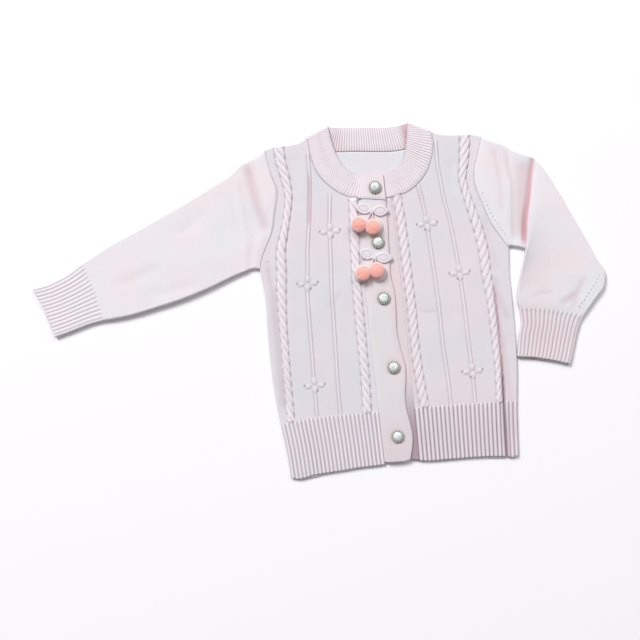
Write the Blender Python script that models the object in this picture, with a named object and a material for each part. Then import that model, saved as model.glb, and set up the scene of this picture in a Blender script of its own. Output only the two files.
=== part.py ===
"""A child's knitted cardigan, buttoned up and laid flat on a table with its front up.

World frame: metres, +X to the wearer's left (the right of the view from above), +Y up the centre
front to the neck, +Z up from the table. The origin is on the table, under the centre front at
underarm height. Lengths and tables below are in millimetres, as a knitter notes them, and MM turns
them into metres where a mesh is made.

Each panel is a wall of knitted cloth over a flat outline. Each tube is a chain of rings, one for
each row of its table. Ribs, cables and rib lines are raised in the upper face.
"""

import math
from collections import namedtuple

import bmesh
import bpy
import numpy as np
from mathutils import Matrix, Vector
from mathutils.geometry import delaunay_2d_cdt

MM = 0.001

# Cloth and layers
GAP = 0.3
WALL = 2.0
FRONT_Z = WALL + GAP
BAND_Z = FRONT_Z + WALL + GAP
CLEAR = 1.2

# Relief of the knitting above (+) or below (-) the plain face
RIB_CREST = 0.6
RIB_VALLEY = -0.4
CABLE_RIDGE = 1.6
CABLE_SHOULDER = 0.9
CABLE_GROOVE = 0.35
CABLE_EDGE = 0.2
LINE_CREST = 0.5
LINE_VALLEY = -0.4
PETAL_RISE = 0.5
EYELET_SINK = -0.7

# Hem ribs
HEM_RIBS = 24
RIB_SHARES = (0.0, 0.28, 0.72)
RIB_START = 3.0
RIB_MIDDLE_Y = -205.0

# Cables
CABLE_PITCH = 9.4
CABLE_SLANT = 7.0
CABLE_HALF = 4.6
CABLE_BOTTOM_Y = -170.5
CABLE_BANK = 1.0

# Rib lines and their flowers
LINE_HALF = 1.9
LINE_BANK = 1.2
LINE_STEP = 26.0
FLOWER_HALF = 4.5
FLOWER_REACH = 10.0
PETAL_OUT = 10.6
PETAL_RADIUS = 3.1

# One row a height: the side edge, then the middle of each cable and line, then the band's seam
Course = namedtuple("Course", "y side cable_out line_out line_in cable_in seam")
RIGHT_COURSES = (
    Course(140, -141.0, -104.6, -73.0, -47.0, -23.0, -20.0),
    Course(120, -141.0, -103.8, -72.8, -49.0, -24.0, -20.5),
    Course(100, -141.0, -100.5, -73.2, -50.8, -25.2, -21.0),
    Course(80, -141.0, -99.3, -75.1, -52.2, -26.3, -21.3),
    Course(60, -141.0, -103.0, -77.6, -54.5, -27.6, -21.8),
    Course(40, -141.0, -108.5, -80.5, -56.6, -29.0, -23.0),
    Course(20, -141.0, -114.0, -83.7, -58.0, -30.4, -23.7),
    Course(0, -140.0, -115.6, -85.8, -59.3, -31.5, -24.0),
    Course(-30, -137.5, -118.6, -89.2, -61.7, -33.0, -24.0),
    Course(-60, -138.5, -120.5, -90.3, -62.8, -33.5, -24.0),
    Course(-100, -139.0, -121.5, -91.3, -64.3, -33.8, -23.8),
    Course(-140, -138.0, -122.5, -92.4, -66.0, -34.5, -23.5),
    Course(-175, -134.7, -122.8, -93.0, -66.3, -36.0, -23.2),
    Course(-205, -131.3, -122.8, -93.0, -66.3, -36.0, -22.9),
    Course(-240, -129.4, -122.8, -93.0, -66.3, -36.0, -22.5),
)
LEFT_COURSES = (
    Course(140, 142.5, 107.5, 73.0, 44.0, 20.0, 13.5),
    Course(120, 142.5, 105.0, 72.6, 45.0, 20.5, 13.7),
    Course(100, 142.5, 102.0, 72.0, 46.0, 21.0, 14.0),
    Course(80, 142.5, 98.3, 73.5, 47.0, 21.3, 14.4),
    Course(60, 142.5, 101.3, 75.3, 50.3, 22.8, 15.3),
    Course(40, 142.5, 105.8, 78.5, 52.8, 24.5, 16.3),
    Course(20, 142.5, 110.5, 80.8, 53.7, 24.9, 16.8),
    Course(0, 142.5, 113.3, 82.5, 54.8, 25.2, 17.0),
    Course(-30, 140.0, 114.4, 84.2, 56.0, 25.5, 17.3),
    Course(-60, 140.0, 116.5, 85.5, 57.0, 26.0, 17.5),
    Course(-100, 139.5, 117.0, 86.0, 57.0, 25.3, 17.5),
    Course(-140, 137.5, 116.8, 86.9, 58.5, 26.8, 17.5),
    Course(-175, 133.7, 114.6, 86.4, 59.0, 29.2, 17.3),
    Course(-205, 131.2, 114.6, 86.4, 59.0, 29.2, 17.0),
    Course(-240, 129.0, 114.6, 86.4, 59.0, 29.2, 16.5),
)

# Boundary lines, a point a row
Point = namedtuple("Point", "x y")
RIGHT_ARMHOLE = (
    Point(-120.5, 136.5), Point(-120.0, 127.0), Point(-118.5, 117.0), Point(-115.0, 103.0),
    Point(-111.8, 92.0), Point(-113.2, 80.0), Point(-116.0, 70.0), Point(-118.3, 60.0),
    Point(-121.3, 48.0), Point(-125.5, 38.0), Point(-131.0, 28.0), Point(-136.0, 18.0),
    Point(-139.2, 10.0), Point(-140.6, 2.0),
)
LEFT_ARMHOLE = (
    Point(123.4, 126.8), Point(121.3, 118.0), Point(117.8, 108.0), Point(113.3, 96.0),
    Point(111.2, 86.0), Point(110.8, 77.0), Point(112.0, 68.0), Point(114.4, 60.0),
    Point(117.8, 49.0), Point(121.3, 38.5), Point(125.3, 28.0), Point(130.5, 18.0),
    Point(136.5, 8.0), Point(142.2, -1.5),
)
RIGHT_SHOULDER = (
    Point(-72.2, 147.0), Point(-75.0, 143.6), Point(-80.0, 140.8), Point(-90.0, 138.9),
    Point(-100.0, 138.5), Point(-110.0, 138.4), Point(-120.5, 136.5),
)
LEFT_SHOULDER = (
    Point(69.3, 138.6), Point(71.6, 136.0), Point(80.0, 132.9), Point(90.0, 131.2),
    Point(100.0, 130.4), Point(111.0, 129.6), Point(123.4, 126.8),
)
RIGHT_HEM = (
    Point(-129.6, -235.3), Point(-126.0, -238.0), Point(-100.0, -235.5), Point(-70.0, -233.5),
    Point(-50.0, -232.2), Point(-28.0, -232.0), Point(-22.5, -231.6),
)
LEFT_HEM = (
    Point(16.6, -231.3), Point(25.0, -232.5), Point(50.0, -233.5), Point(80.0, -234.2),
    Point(100.0, -235.5), Point(115.0, -237.2), Point(125.0, -238.4), Point(129.2, -236.0),
)
BACK_HEM = (
    Point(-129.6, -234.8), Point(-125.0, -236.8), Point(-70.0, -232.6), Point(-20.0, -228.5),
    Point(20.0, -229.2), Point(70.0, -233.0), Point(124.0, -237.2), Point(129.2, -235.4),
)
RIGHT_RIB_TOP = (Point(-135.0, -174.5), Point(-110.0, -172.0), Point(-22.0, -172.0))
LEFT_RIB_TOP = (
    Point(17.0, -172.0), Point(45.0, -172.4), Point(90.0, -174.0), Point(134.0, -176.5),
)
BAND_EDGE = (
    Point(9.4, 66.0), Point(9.2, 45.0), Point(7.6, 15.0), Point(6.8, -2.0), Point(6.0, -18.0),
    Point(8.6, -40.0), Point(7.6, -62.0), Point(6.5, -85.0), Point(9.0, -106.0),
    Point(11.8, -122.0), Point(10.6, -140.0), Point(8.3, -155.0), Point(8.2, -172.0),
    Point(10.8, -190.0), Point(11.9, -202.0), Point(10.0, -216.0), Point(6.6, -228.6),
)
BAND_HEM = (Point(-22.5, -229.4), Point(-8.0, -230.2), Point(2.0, -230.0), Point(6.6, -228.6))
UNDER_HEM = (Point(-14.5, -228.4), Point(2.0, -228.4), Point(16.6, -230.8))
UNDER_EDGE_X = -14.5

# Flowers: the line that each stands on, and its height
RIGHT_FLOWERS = {"line_in": (37.0,), "line_out": (-19.0, -134.5)}
LEFT_FLOWERS = {"line_in": (34.0,), "line_out": (-25.0, -137.0)}
LINE_TOPS = {"line_out": 128.0, "line_in": 80.0}

# Soft folds of the left front: where, how high (+) or deep (-), and how wide
Fold = namedtuple("Fold", "x top_y bottom_y height width")
LEFT_FOLDS = (
    Fold(120.5, -50.0, -238.0, -0.8, 2.6),
    Fold(130.0, -35.0, -238.0, 1.0, 6.0),
)

# The neckband, a strip from one front end round the neck to the other: its seam edge, its free
# edge, the height of its underside, and how far its ribs rise
Strip = namedtuple("Strip", "seam_x seam_y free_x free_y level rise")
NECK_TOP_LEVEL = 5.2
NECK_LEVEL = 2.8
NECK_RISE = 0.5
NECK_RIB_PITCH = 3.1
NECK_RIGHT = (
    Strip(9.4, 66.3, 9.2, 95.2, NECK_TOP_LEVEL, NECK_RISE),
    Strip(-5.0, 68.8, -4.5, 98.2, NECK_TOP_LEVEL, NECK_RISE),
    Strip(-16.0, 70.4, -12.5, 97.2, NECK_TOP_LEVEL, NECK_RISE),
    Strip(-27.0, 72.8, -20.5, 98.4, NECK_LEVEL, NECK_RISE),
    Strip(-36.0, 76.8, -26.5, 101.6, NECK_LEVEL, NECK_RISE),
    Strip(-45.0, 82.6, -31.5, 106.4, NECK_LEVEL, NECK_RISE),
    Strip(-53.0, 90.0, -35.5, 112.0, NECK_LEVEL, NECK_RISE),
    Strip(-60.0, 98.6, -39.0, 119.0, NECK_LEVEL, NECK_RISE),
    Strip(-65.5, 108.0, -41.3, 125.5, NECK_LEVEL, NECK_RISE),
    Strip(-68.5, 118.5, -43.2, 133.0, NECK_LEVEL, NECK_RISE),
    Strip(-70.3, 131.0, -45.0, 142.5, NECK_LEVEL, NECK_RISE),
    Strip(-71.1, 144.6, -46.1, 154.6, NECK_LEVEL, 0.2),
)
NECK_BACK = (
    Strip(-71.1, 144.6, -46.1, 154.6, 0.0, 0.0),
    Strip(-67.5, 136.6, -44.6, 154.3, 0.0, 0.0),
    Strip(-59.0, 130.8, -42.4, 153.9, 0.0, 0.2),
    Strip(-50.0, 127.8, -38.5, 153.2, 0.0, 0.4),
    Strip(-41.0, 125.9, -34.0, 152.6, 0.0, 0.4),
    Strip(-20.0, 124.0, -18.0, 150.6, 0.0, 0.4),
    Strip(0.0, 121.6, 0.0, 149.2, 0.0, 0.4),
    Strip(20.0, 119.8, 17.0, 147.5, 0.0, 0.4),
    Strip(38.0, 120.6, 29.5, 147.6, 0.0, 0.4),
    Strip(48.5, 123.6, 34.5, 148.2, 0.0, 0.4),
    Strip(57.0, 126.6, 38.0, 148.8, 0.0, 0.2),
    Strip(64.6, 130.6, 41.0, 149.2, 0.0, 0.0),
    Strip(68.3, 136.4, 42.4, 149.4, 0.0, 0.0),
)
NECK_LEFT = (
    Strip(68.3, 136.4, 42.4, 149.4, NECK_LEVEL, 0.2),
    Strip(68.6, 126.0, 41.2, 140.0, NECK_LEVEL, NECK_RISE),
    Strip(66.6, 113.6, 39.0, 128.0, NECK_LEVEL, NECK_RISE),
    Strip(62.3, 101.6, 36.4, 117.0, NECK_LEVEL, NECK_RISE),
    Strip(56.8, 92.0, 33.2, 109.0, NECK_LEVEL, NECK_RISE),
    Strip(50.0, 84.4, 28.8, 103.5, NECK_LEVEL, NECK_RISE),
    Strip(43.5, 78.8, 24.5, 100.2, NECK_LEVEL, NECK_RISE),
    Strip(36.0, 74.2, 20.0, 97.7, NECK_LEVEL, NECK_RISE),
    Strip(28.0, 71.0, 15.5, 95.9, NECK_LEVEL, NECK_RISE),
    Strip(19.0, 68.8, 10.0, 94.3, 2.6, 0.3),
    Strip(7.0, 67.0, 3.0, 93.2, 2.4, 0.1),
    Strip(-13.0, 66.4, -12.5, 92.6, 2.4, 0.0),
)
NECK_BEND_STEPS = 5

# Sleeves: the ends of each ring across the sleeve, how much of the armhole's curve it keeps, how
# far it bows back towards the armhole, and its height at the outer and the inner edge
Ring = namedtuple("Ring", "outer_x outer_y inner_x inner_y bow belly outer_h inner_h")
SLEEVE_RIGHT = (
    Ring(-120.5, 136.5, -140.6, 2.0, 1.00, 0.0, 4.6, 4.6),
    Ring(-128.5, 130.6, -144.8, 3.8, 0.72, 0.0, 5.4, 5.2),
    Ring(-139.0, 127.0, -150.0, 3.4, 0.42, 0.0, 5.0, 5.0),
    Ring(-149.5, 122.6, -157.5, 1.2, 0.20, 0.0, 6.0, 5.8),
    Ring(-160.5, 113.6, -167.0, -1.6, 0.05, 0.0, 5.6, 5.8),
    Ring(-180.0, 103.4, -184.0, -7.6, 0.0, 0.0, 6.3, 6.2),
    Ring(-205.0, 91.0, -207.0, -15.6, 0.0, 0.0, 6.6, 6.6),
    Ring(-235.0, 77.9, -234.0, -23.2, 0.0, 0.0, 6.9, 6.9),
    Ring(-265.0, 64.4, -261.0, -28.8, 0.0, 0.4, 6.9, 6.9),
    Ring(-300.0, 50.0, -290.0, -34.3, 0.0, 1.0, 6.8, 6.8),
    Ring(-325.0, 37.6, -311.0, -36.4, 0.0, 1.5, 6.5, 6.5),
    Ring(-339.6, 29.9, -322.6, -37.0, 0.0, 1.9, 5.6, 5.6),
    Ring(-343.0, 27.6, -325.8, -37.4, 0.0, 1.9, 5.2, 5.2),
    Ring(-354.0, 21.0, -336.0, -39.0, 0.0, 1.9, 5.2, 5.2),
    Ring(-368.0, 14.8, -348.5, -42.2, 0.0, 1.9, 5.2, 5.2),
    Ring(-383.0, 9.9, -363.0, -46.2, 0.0, 1.9, 5.2, 5.2),
    Ring(-398.0, 7.6, -378.2, -50.0, 0.0, 1.7, 5.2, 5.2),
)
SLEEVE_LEFT = (
    Ring(123.4, 126.8, 142.2, -1.5, 1.00, 0.0, 4.6, 4.6),
    Ring(131.0, 122.0, 145.6, -0.8, 0.72, 0.0, 5.4, 5.4),
    Ring(140.5, 117.8, 148.6, -1.7, 0.42, 0.0, 5.2, 5.2),
    Ring(149.4, 113.8, 151.4, -2.5, 0.24, 0.0, 4.9, 4.9),
    Ring(158.0, 106.8, 153.8, -3.2, 0.12, 0.4, 5.8, 5.8),
    Ring(170.0, 101.2, 156.4, -4.0, 0.04, 1.2, 5.6, 5.6),
    Ring(180.6, 95.6, 158.2, -4.8, 0.0, 2.0, 4.6, 4.6),
    Ring(182.6, 93.6, 159.4, -5.4, 0.0, 2.0, 6.4, 8.6),
    Ring(186.4, 88.6, 160.2, -8.0, 0.0, 1.8, 7.4, 11.8),
    Ring(195.0, 74.0, 158.2, -14.0, 0.0, 1.2, 8.0, 12.6),
    Ring(208.0, 46.8, 154.8, -24.0, 0.0, 0.6, 8.0, 11.4),
    Ring(220.0, 20.6, 151.4, -35.0, 0.0, 0.0, 7.6, 9.6),
    Ring(231.0, -4.2, 148.5, -45.0, 0.0, 0.0, 7.2, 8.2),
    Ring(240.5, -26.0, 146.2, -54.0, 0.0, 0.0, 6.9, 7.0),
    Ring(247.8, -41.5, 145.5, -60.5, 0.0, 0.0, 6.6, 6.5),
    Ring(245.8, -54.5, 145.6, -65.0, 0.0, 1.5, 6.4, 6.2),
    Ring(233.0, -71.0, 146.2, -69.0, 0.0, 2.5, 6.2, 6.0),
    Ring(218.0, -88.6, 146.8, -72.4, 0.0, 2.8, 5.6, 5.6),
    Ring(214.6, -93.4, 147.2, -76.4, 0.0, 2.8, 5.2, 5.2),
    Ring(209.2, -106.0, 147.4, -87.0, 0.0, 2.6, 5.2, 5.2),
    Ring(204.8, -119.6, 144.4, -98.6, 0.0, 2.4, 5.2, 5.2),
    Ring(200.6, -132.8, 141.6, -112.0, 0.0, 2.2, 5.2, 5.2),
    Ring(197.6, -140.4, 138.9, -125.8, 0.0, 2.0, 5.2, 5.2),
)
SLEEVE_ARMHOLE_STEPS = 18
SLEEVE_UNDER_STEPS = 5
# A sleeve's edge, from the table up: how far in it lies, and its share of the sleeve's height.
# Where the sleeve is folded over itself, the edge steps in and out between the layers.
SLEEVE_EDGE = ((0.0, 0.45), (0.7, 0.82), (2.8, 1.0))
LAYERED_EDGE = ((0.7, 0.1), (0.0, 0.2), (1.5, 0.32), (0.0, 0.42), (0.0, 0.54), (1.5, 0.66),
                (0.0, 0.76), (0.9, 0.9), (2.8, 1.0))
LAYERED_FROM = 8.0
SLEEVE_RIBS = 13
CAVITY_INSET = 2.3
CAVITY_STEPS = 6

# Buttons: centres, and the height of the face that each lies on
Button = namedtuple("Button", "x y face")
BAND_FACE = BAND_Z + WALL
NECK_FACE = NECK_TOP_LEVEL + WALL + NECK_RISE
BUTTONS = (
    Button(-1.5, 81.0, NECK_FACE),
    Button(-4.5, 19.0, BAND_FACE),
    Button(-4.5, -44.5, BAND_FACE),
    Button(-1.5, -123.0, BAND_FACE),
    Button(-5.2, -201.0, BAND_FACE),
)
BUTTON_SEGMENTS = 18
RimPoint = namedtuple("RimPoint", "radius height")
RIM_PROFILE = (
    RimPoint(0.0, 0.0), RimPoint(5.8, 0.0), RimPoint(7.5, 0.9), RimPoint(7.3, 2.0),
    RimPoint(6.3, 2.5), RimPoint(5.7, 2.1), RimPoint(5.6, 1.0), RimPoint(0.0, 1.0),
)
PEARL_PROFILE = (
    RimPoint(0.0, 1.3), RimPoint(5.3, 1.3), RimPoint(5.3, 2.3), RimPoint(4.2, 3.5),
    RimPoint(2.3, 4.2), RimPoint(0.0, 4.5),
)

# Cherry sprigs: the knot, the leaf tips, the two cherries and the discs that these lie on
Sprig = namedtuple("Sprig", "name knot leaf_right leaf_left cherry_right cherry_left "
                            "disc_right disc_left disc_radius")
SPRIGS = (
    Sprig("upper", Point(-7.7, 54.0), Point(-25.5, 59.6), Point(11.6, 49.4),
          Point(-24.2, 41.0), Point(-8.4, 37.2), Point(-24.8, 40.2), Point(-5.3, 36.0), 8.7),
    Sprig("lower", Point(-10.4, 1.6), Point(-26.4, 8.2), Point(9.4, -4.6),
          Point(-25.2, -13.8), Point(-9.4, -12.4), Point(-26.2, -15.0), Point(-6.9, -17.0), 9.4),
)
SPRIG_Z = BAND_FACE + GAP
LEAF_WIDTH = 11.5
LEAF_THICK = 1.5
LEAF_STEPS = 8
DISC_SIDES = 20
DISC_THICK = 1.2
KNOT_RADIUS = 3.2
KNOT_HEIGHT = 2.6
STEM_RADIUS = 0.9
LEAF_ROUNDNESS = 0.7
LEAF_STEP = 0.1
STEM_POINTS = 5
STEM_SHORT = 5.0
STEM_LIFT = 0.2
STEM_BOW_RIGHT = (1.2, 0.9)
STEM_BOW_LEFT = (-0.8, -0.6)
KNOT_SIDES = 10
POMPOM_CORE = 5.8
POMPOM_REACH = 8.3
POMPOM_FLAT = 0.78
POMPOM_LOCKS = 60
POMPOM_SEED = 11

# Finishes: colour, roughness and metallic value
Finish = namedtuple("Finish", "colour roughness metallic")
KNIT = Finish((0.84, 0.75, 0.78), 0.9, 0.0)
RIBBING = Finish((0.84, 0.71, 0.74), 0.9, 0.0)
BRASS = Finish((0.42, 0.36, 0.27), 0.4, 1.0)
PEARL = Finish((0.74, 0.84, 0.81), 0.25, 0.0)
CORAL = Finish((0.88, 0.34, 0.28), 0.95, 0.0)


def follow(stations, values, at):
    """Reads a smooth curve through a table's values at one station."""
    order = 1 if stations[0] < stations[-1] else -1
    places = np.asarray(stations, float)[::order]
    heights = np.asarray(values, float)[::order]
    slopes = np.gradient(heights, places)
    low = int(np.clip(np.searchsorted(places, at) - 1, 0, len(places) - 2))
    span = places[low + 1] - places[low]
    t = min(max((at - places[low]) / span, 0.0), 1.0)
    start = (1 + 2 * t) * (1 - t) ** 2 * heights[low] + t * (1 - t) ** 2 * span * slopes[low]
    end = t * t * (3 - 2 * t) * heights[low + 1] + t * t * (t - 1) * span * slopes[low + 1]
    return float(start + end)


def column(rows, name, at):
    """Reads one named column of a table of courses at the height `at`."""
    return follow([row.y for row in rows], [getattr(row, name) for row in rows], at)


def resample(points, count):
    """Returns `count` points, evenly spaced along a smooth curve through the given points."""
    table = np.asarray(points, float)
    steps = np.linalg.norm(np.diff(table[:, :2], axis=0), axis=1)
    length = np.concatenate([[0.0], np.cumsum(steps)])
    stations = np.linspace(0.0, length[-1], count)
    columns = [[follow(length, table[:, k], s) for s in stations] for k in range(table.shape[1])]
    return [tuple(row) for row in np.array(columns).T]


def offset(points, distance, closed):
    """Moves each point of a line to its left, so that the new line keeps that distance."""
    table = np.asarray(points, float)[:, :2]
    ahead = np.roll(table, -1, axis=0) - table
    if not closed:
        ahead[-1] = ahead[-2]
    behind = np.roll(ahead, 1, axis=0)
    if not closed:
        behind[0] = ahead[0]
    left = [np.stack([-d[:, 1], d[:, 0]], axis=1) for d in (ahead, behind)]
    left = [n / np.linalg.norm(n, axis=1, keepdims=True) for n in left]
    share = np.maximum(1.0 + (left[0] * left[1]).sum(axis=1, keepdims=True), 0.4)
    return table + distance * (left[0] + left[1]) / share


def signed_area(points):
    """Returns a closed line's area: positive when it runs anticlockwise."""
    x, y = np.asarray(points, float)[:, :2].T
    return 0.5 * float(np.sum(x * np.roll(y, -1) - np.roll(x, -1) * y))


def well_inside(outline, margin):
    """Returns a test: is a point inside the outline, and that far from every edge of it?"""
    start = np.asarray(outline, float)
    edge = np.roll(start, -1, axis=0) - start

    def test(x, y):
        to_point = np.array([x, y]) - start
        share = np.clip((to_point * edge).sum(axis=1) / (edge * edge).sum(axis=1), 0.0, 1.0)
        nearest = np.linalg.norm(to_point - share[:, None] * edge, axis=1).min()
        crosses = (start[:, 1] > y) != (start[:, 1] + edge[:, 1] > y)
        safe = np.where(edge[:, 1] == 0, 1.0, edge[:, 1])
        at_x = start[:, 0] + (y - start[:, 1]) / safe * edge[:, 0]
        return nearest > margin and np.count_nonzero(crosses & (at_x > x)) % 2 == 1

    return test


def clipped(lines, outline, margin):
    """Cuts lines of (x, y, rise) back to a margin inside the outline."""
    keep = well_inside(outline, margin)
    corners = {(round(x, 3), round(y, 3)) for x, y in outline}
    pieces = []
    for line in lines:
        piece = []
        for point in line:
            if (round(point[0], 3), round(point[1], 3)) in corners or keep(*point[:2]):
                piece.append(point)
            else:
                pieces.append(piece)
                piece = []
        pieces.append(piece)
    return [piece for piece in pieces if piece]


def triangulated(outline, lines):
    """Fills an outline with triangles that keep the given lines as edges.

    Returns the points as (x, y, rise), with the outline's own points first, and the triangles.
    """
    numbers = {}
    points = []
    rises = []

    def number(x, y, rise):
        key = (round(x, 3), round(y, 3))
        if key not in numbers:
            numbers[key] = len(points)
            points.append(Vector((x, y)))
            rises.append(rise)
        elif rise:
            rises[numbers[key]] = rise
        return numbers[key]

    loop = [number(x, y, 0.0) for x, y in outline]
    edges = []
    for line in lines:
        chain = [number(*point) for point in line]
        edges += [(a, b) for a, b in zip(chain, chain[1:]) if a != b]
    made = delaunay_2d_cdt(points, edges, [loop], 1, 1e-5)
    if len(made[0]) != len(points) or any(len(origin) != 1 for origin in made[3]):
        raise ValueError("two lines of a panel cross")
    source = [origin[0] for origin in made[3]]
    flat = [(points[i].x, points[i].y, rises[i]) for i in range(len(points))]
    return flat, [[source[corner] for corner in face] for face in made[2]]


def new_material(name, finish):
    """Makes an object's own material from a finish."""
    material = bpy.data.materials.new(name)
    material.use_nodes = True
    shader = material.node_tree.nodes["Principled BSDF"]
    shader.inputs["Base Color"].default_value = (*finish.colour, 1.0)
    shader.inputs["Roughness"].default_value = finish.roughness
    shader.inputs["Metallic"].default_value = finish.metallic
    material.diffuse_color = (*finish.colour, 1.0)
    return material


def new_object(name, mesh, finish):
    """Turns a bmesh in millimetres into a named object in metres, with its normals outwards."""
    bmesh.ops.scale(mesh, vec=(MM, MM, MM), verts=mesh.verts)
    bmesh.ops.triangulate(mesh, faces=mesh.faces)
    bmesh.ops.recalc_face_normals(mesh, faces=mesh.faces)
    data = bpy.data.meshes.new(name)
    mesh.to_mesh(data)
    mesh.free()
    data.materials.append(new_material(name, finish))
    made = bpy.data.objects.new(name, data)
    bpy.context.scene.collection.objects.link(made)
    return made


def panel(name, outline, lines, top, bottom, folds=()):
    """Makes a wall of cloth over an outline.

    `lines` are the relief of its upper face. `top` and `bottom` give the height of each face at a
    point, and `folds` are lines that both faces need where they bend.
    """
    mesh = bmesh.new()
    faces = []
    for height, inner in ((top, [*lines, *folds]), (bottom, list(folds))):
        points, triangles = triangulated(outline, clipped(inner, outline, CLEAR))
        verts = [mesh.verts.new((x, y, height(x, y) + rise)) for x, y, rise in points]
        for triangle in triangles:
            mesh.faces.new([verts[corner] for corner in triangle])
        faces.append(verts[: len(outline)])
    upper, lower = faces
    count = len(outline)
    for here in range(count):
        there = (here + 1) % count
        mesh.faces.new([lower[here], lower[there], upper[there], upper[here]])
    return new_object(name, mesh, KNIT)


def armhole_points(armhole):
    """The armhole's seam, at the points that the panel and its sleeve share."""
    return resample(armhole, SLEEVE_ARMHOLE_STEPS + 1)


def neck_line(rows, start, end, count):
    """Points along the neckband's seam edge, between two rows given as (fractional) numbers."""
    numbers = range(len(rows))
    xs = [row.seam_x for row in rows]
    ys = [row.seam_y for row in rows]
    places = np.linspace(start, end, count)
    return [(follow(numbers, xs, at), follow(numbers, ys, at)) for at in places]


def seam_row(rows, x):
    """The fractional row number where the neckband's seam edge passes the given x."""
    numbers = range(len(rows))
    xs = [row.seam_x for row in rows]
    places = np.linspace(0, len(rows) - 1, 40 * len(rows))
    return min(places, key=lambda at: abs(follow(numbers, xs, at) - x))


def wale(rows, share, y):
    """Where a rib stands at a height, as a share of the way from the side edge to the seam."""
    side = column(rows, "side", y)
    return side + share * (column(rows, "seam", y) - side)


def rib_shares():
    """Each rib's valley and its two crest lines, as (share of the width, rise)."""
    shares = []
    for rib in range(HEM_RIBS):
        for part, rise in zip(RIB_SHARES, (RIB_VALLEY, RIB_CREST, RIB_CREST)):
            shares.append(((rib + part) / HEM_RIBS, rise))
    return [*shares, (1.0, RIB_VALLEY)]


def hem_height(hem, x):
    """The height of a hem line at x."""
    return follow([point.x for point in hem], [point.y for point in hem], x)


def rib_lines(rows, rib_top, feet):
    """The hem's ribs: a line up each valley and crest, from its foot on the hem's edge."""
    lines = []
    for (share, rise), foot in zip(rib_shares(), feet):
        x_top = wale(rows, share, rib_top[0].y)
        start = hem_height(rib_top, x_top)
        heights = (start, start - RIB_START, RIB_MIDDLE_Y)
        line = [(wale(rows, share, y), y, 0.0 if y == start else rise) for y in heights]
        lines.append([*line, (foot[0], foot[1], rise)])
    return lines


def cable_lines(rows, name, twist, top_y):
    """A two-strand rope cable: its banks, its valleys, and a ridge and a groove a crossing."""
    crossings = int((top_y - CABLE_BOTTOM_Y) / CABLE_PITCH)
    lines = []
    for side in (-1, 1):
        valley = []
        bank = []
        for step in range(crossings + 1):
            y = CABLE_BOTTOM_Y + step * CABLE_PITCH
            middle = column(rows, name, y)
            valley.append((middle + side * CABLE_HALF, y, LINE_VALLEY))
            bank.append((middle + side * (CABLE_HALF + CABLE_BANK), y, 0.0))
        lines += [valley, bank]
    diagonals = ((0.25, CABLE_GROOVE, CABLE_EDGE), (0.75, CABLE_RIDGE, CABLE_SHOULDER))
    for step in range(crossings):
        for phase, crown, shoulder in diagonals:
            line = []
            for across, rise in ((-0.68, shoulder), (0.0, crown), (0.68, shoulder)):
                y = CABLE_BOTTOM_Y + (step + phase) * CABLE_PITCH - twist * CABLE_SLANT * across
                if CABLE_BOTTOM_Y < y < top_y:
                    line.append((column(rows, name, y) + across * CABLE_HALF, y, rise))
            lines.append(line)
    return [line for line in lines if line]


def line_half(y, flowers):
    """Half the width of a rib line, which swells round each flower."""
    half = LINE_HALF
    for flower in flowers:
        reach = (y - flower) / FLOWER_REACH
        if abs(reach) < 1.0:
            half = max(half, FLOWER_HALF * math.sqrt(1.0 - reach * reach))
    return half


def rib_line(rows, name, flowers):
    """A narrow rib between two valleys, with an oval lobe and two petals at each flower."""
    steps = int((LINE_TOPS[name] - CABLE_BOTTOM_Y) / LINE_STEP)
    heights = {CABLE_BOTTOM_Y + k * (LINE_TOPS[name] - CABLE_BOTTOM_Y) / steps
               for k in range(steps + 1)}
    for flower in flowers:
        heights = {y for y in heights if abs(y - flower) > FLOWER_REACH + 2.0}
        heights |= {flower + FLOWER_REACH * part for part in (-1.0, -0.8, -0.4, 0.0, 0.4, 0.8, 1.0)}
    lines = [[] for _ in range(5)]
    for y in sorted(heights):
        middle = column(rows, name, y)
        half = line_half(y, flowers)
        across = (-half - LINE_BANK, -half, 0.0, half, half + LINE_BANK)
        rises = (0.0, LINE_VALLEY, LINE_CREST, LINE_VALLEY, 0.0)
        for line, shift, rise in zip(lines, across, rises):
            line.append((middle + shift, y, rise))
    for flower in flowers:
        for side in (-1, 1):
            lines += petal_lines(column(rows, name, flower) + side * PETAL_OUT, flower)
    return lines


def petal_lines(x, y):
    """A small raised petal with an eyelet in its middle."""
    ring = []
    foot = []
    for corner in range(7):
        angle = corner * math.tau / 6
        dx = math.cos(angle)
        dy = math.sin(angle)
        ring.append((x + 0.6 * PETAL_RADIUS * dx, y + 0.8 * PETAL_RADIUS * dy, PETAL_RISE))
        foot.append((x + PETAL_RADIUS * dx, y + 1.4 * PETAL_RADIUS * dy, 0.0))
    return [ring, foot, [(x, y, EYELET_SINK)]]


def swell(folds, x, y):
    """The height that soft folds add at a point."""
    total = 0.0
    for fold in folds:
        ends = min((fold.top_y - y) / 12.0, (y - fold.bottom_y) / 12.0)
        share = min(max(ends, 0.0), 1.0)
        total += fold.height * share * math.exp(-(((x - fold.x) / fold.width) ** 2))
    return total


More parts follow.
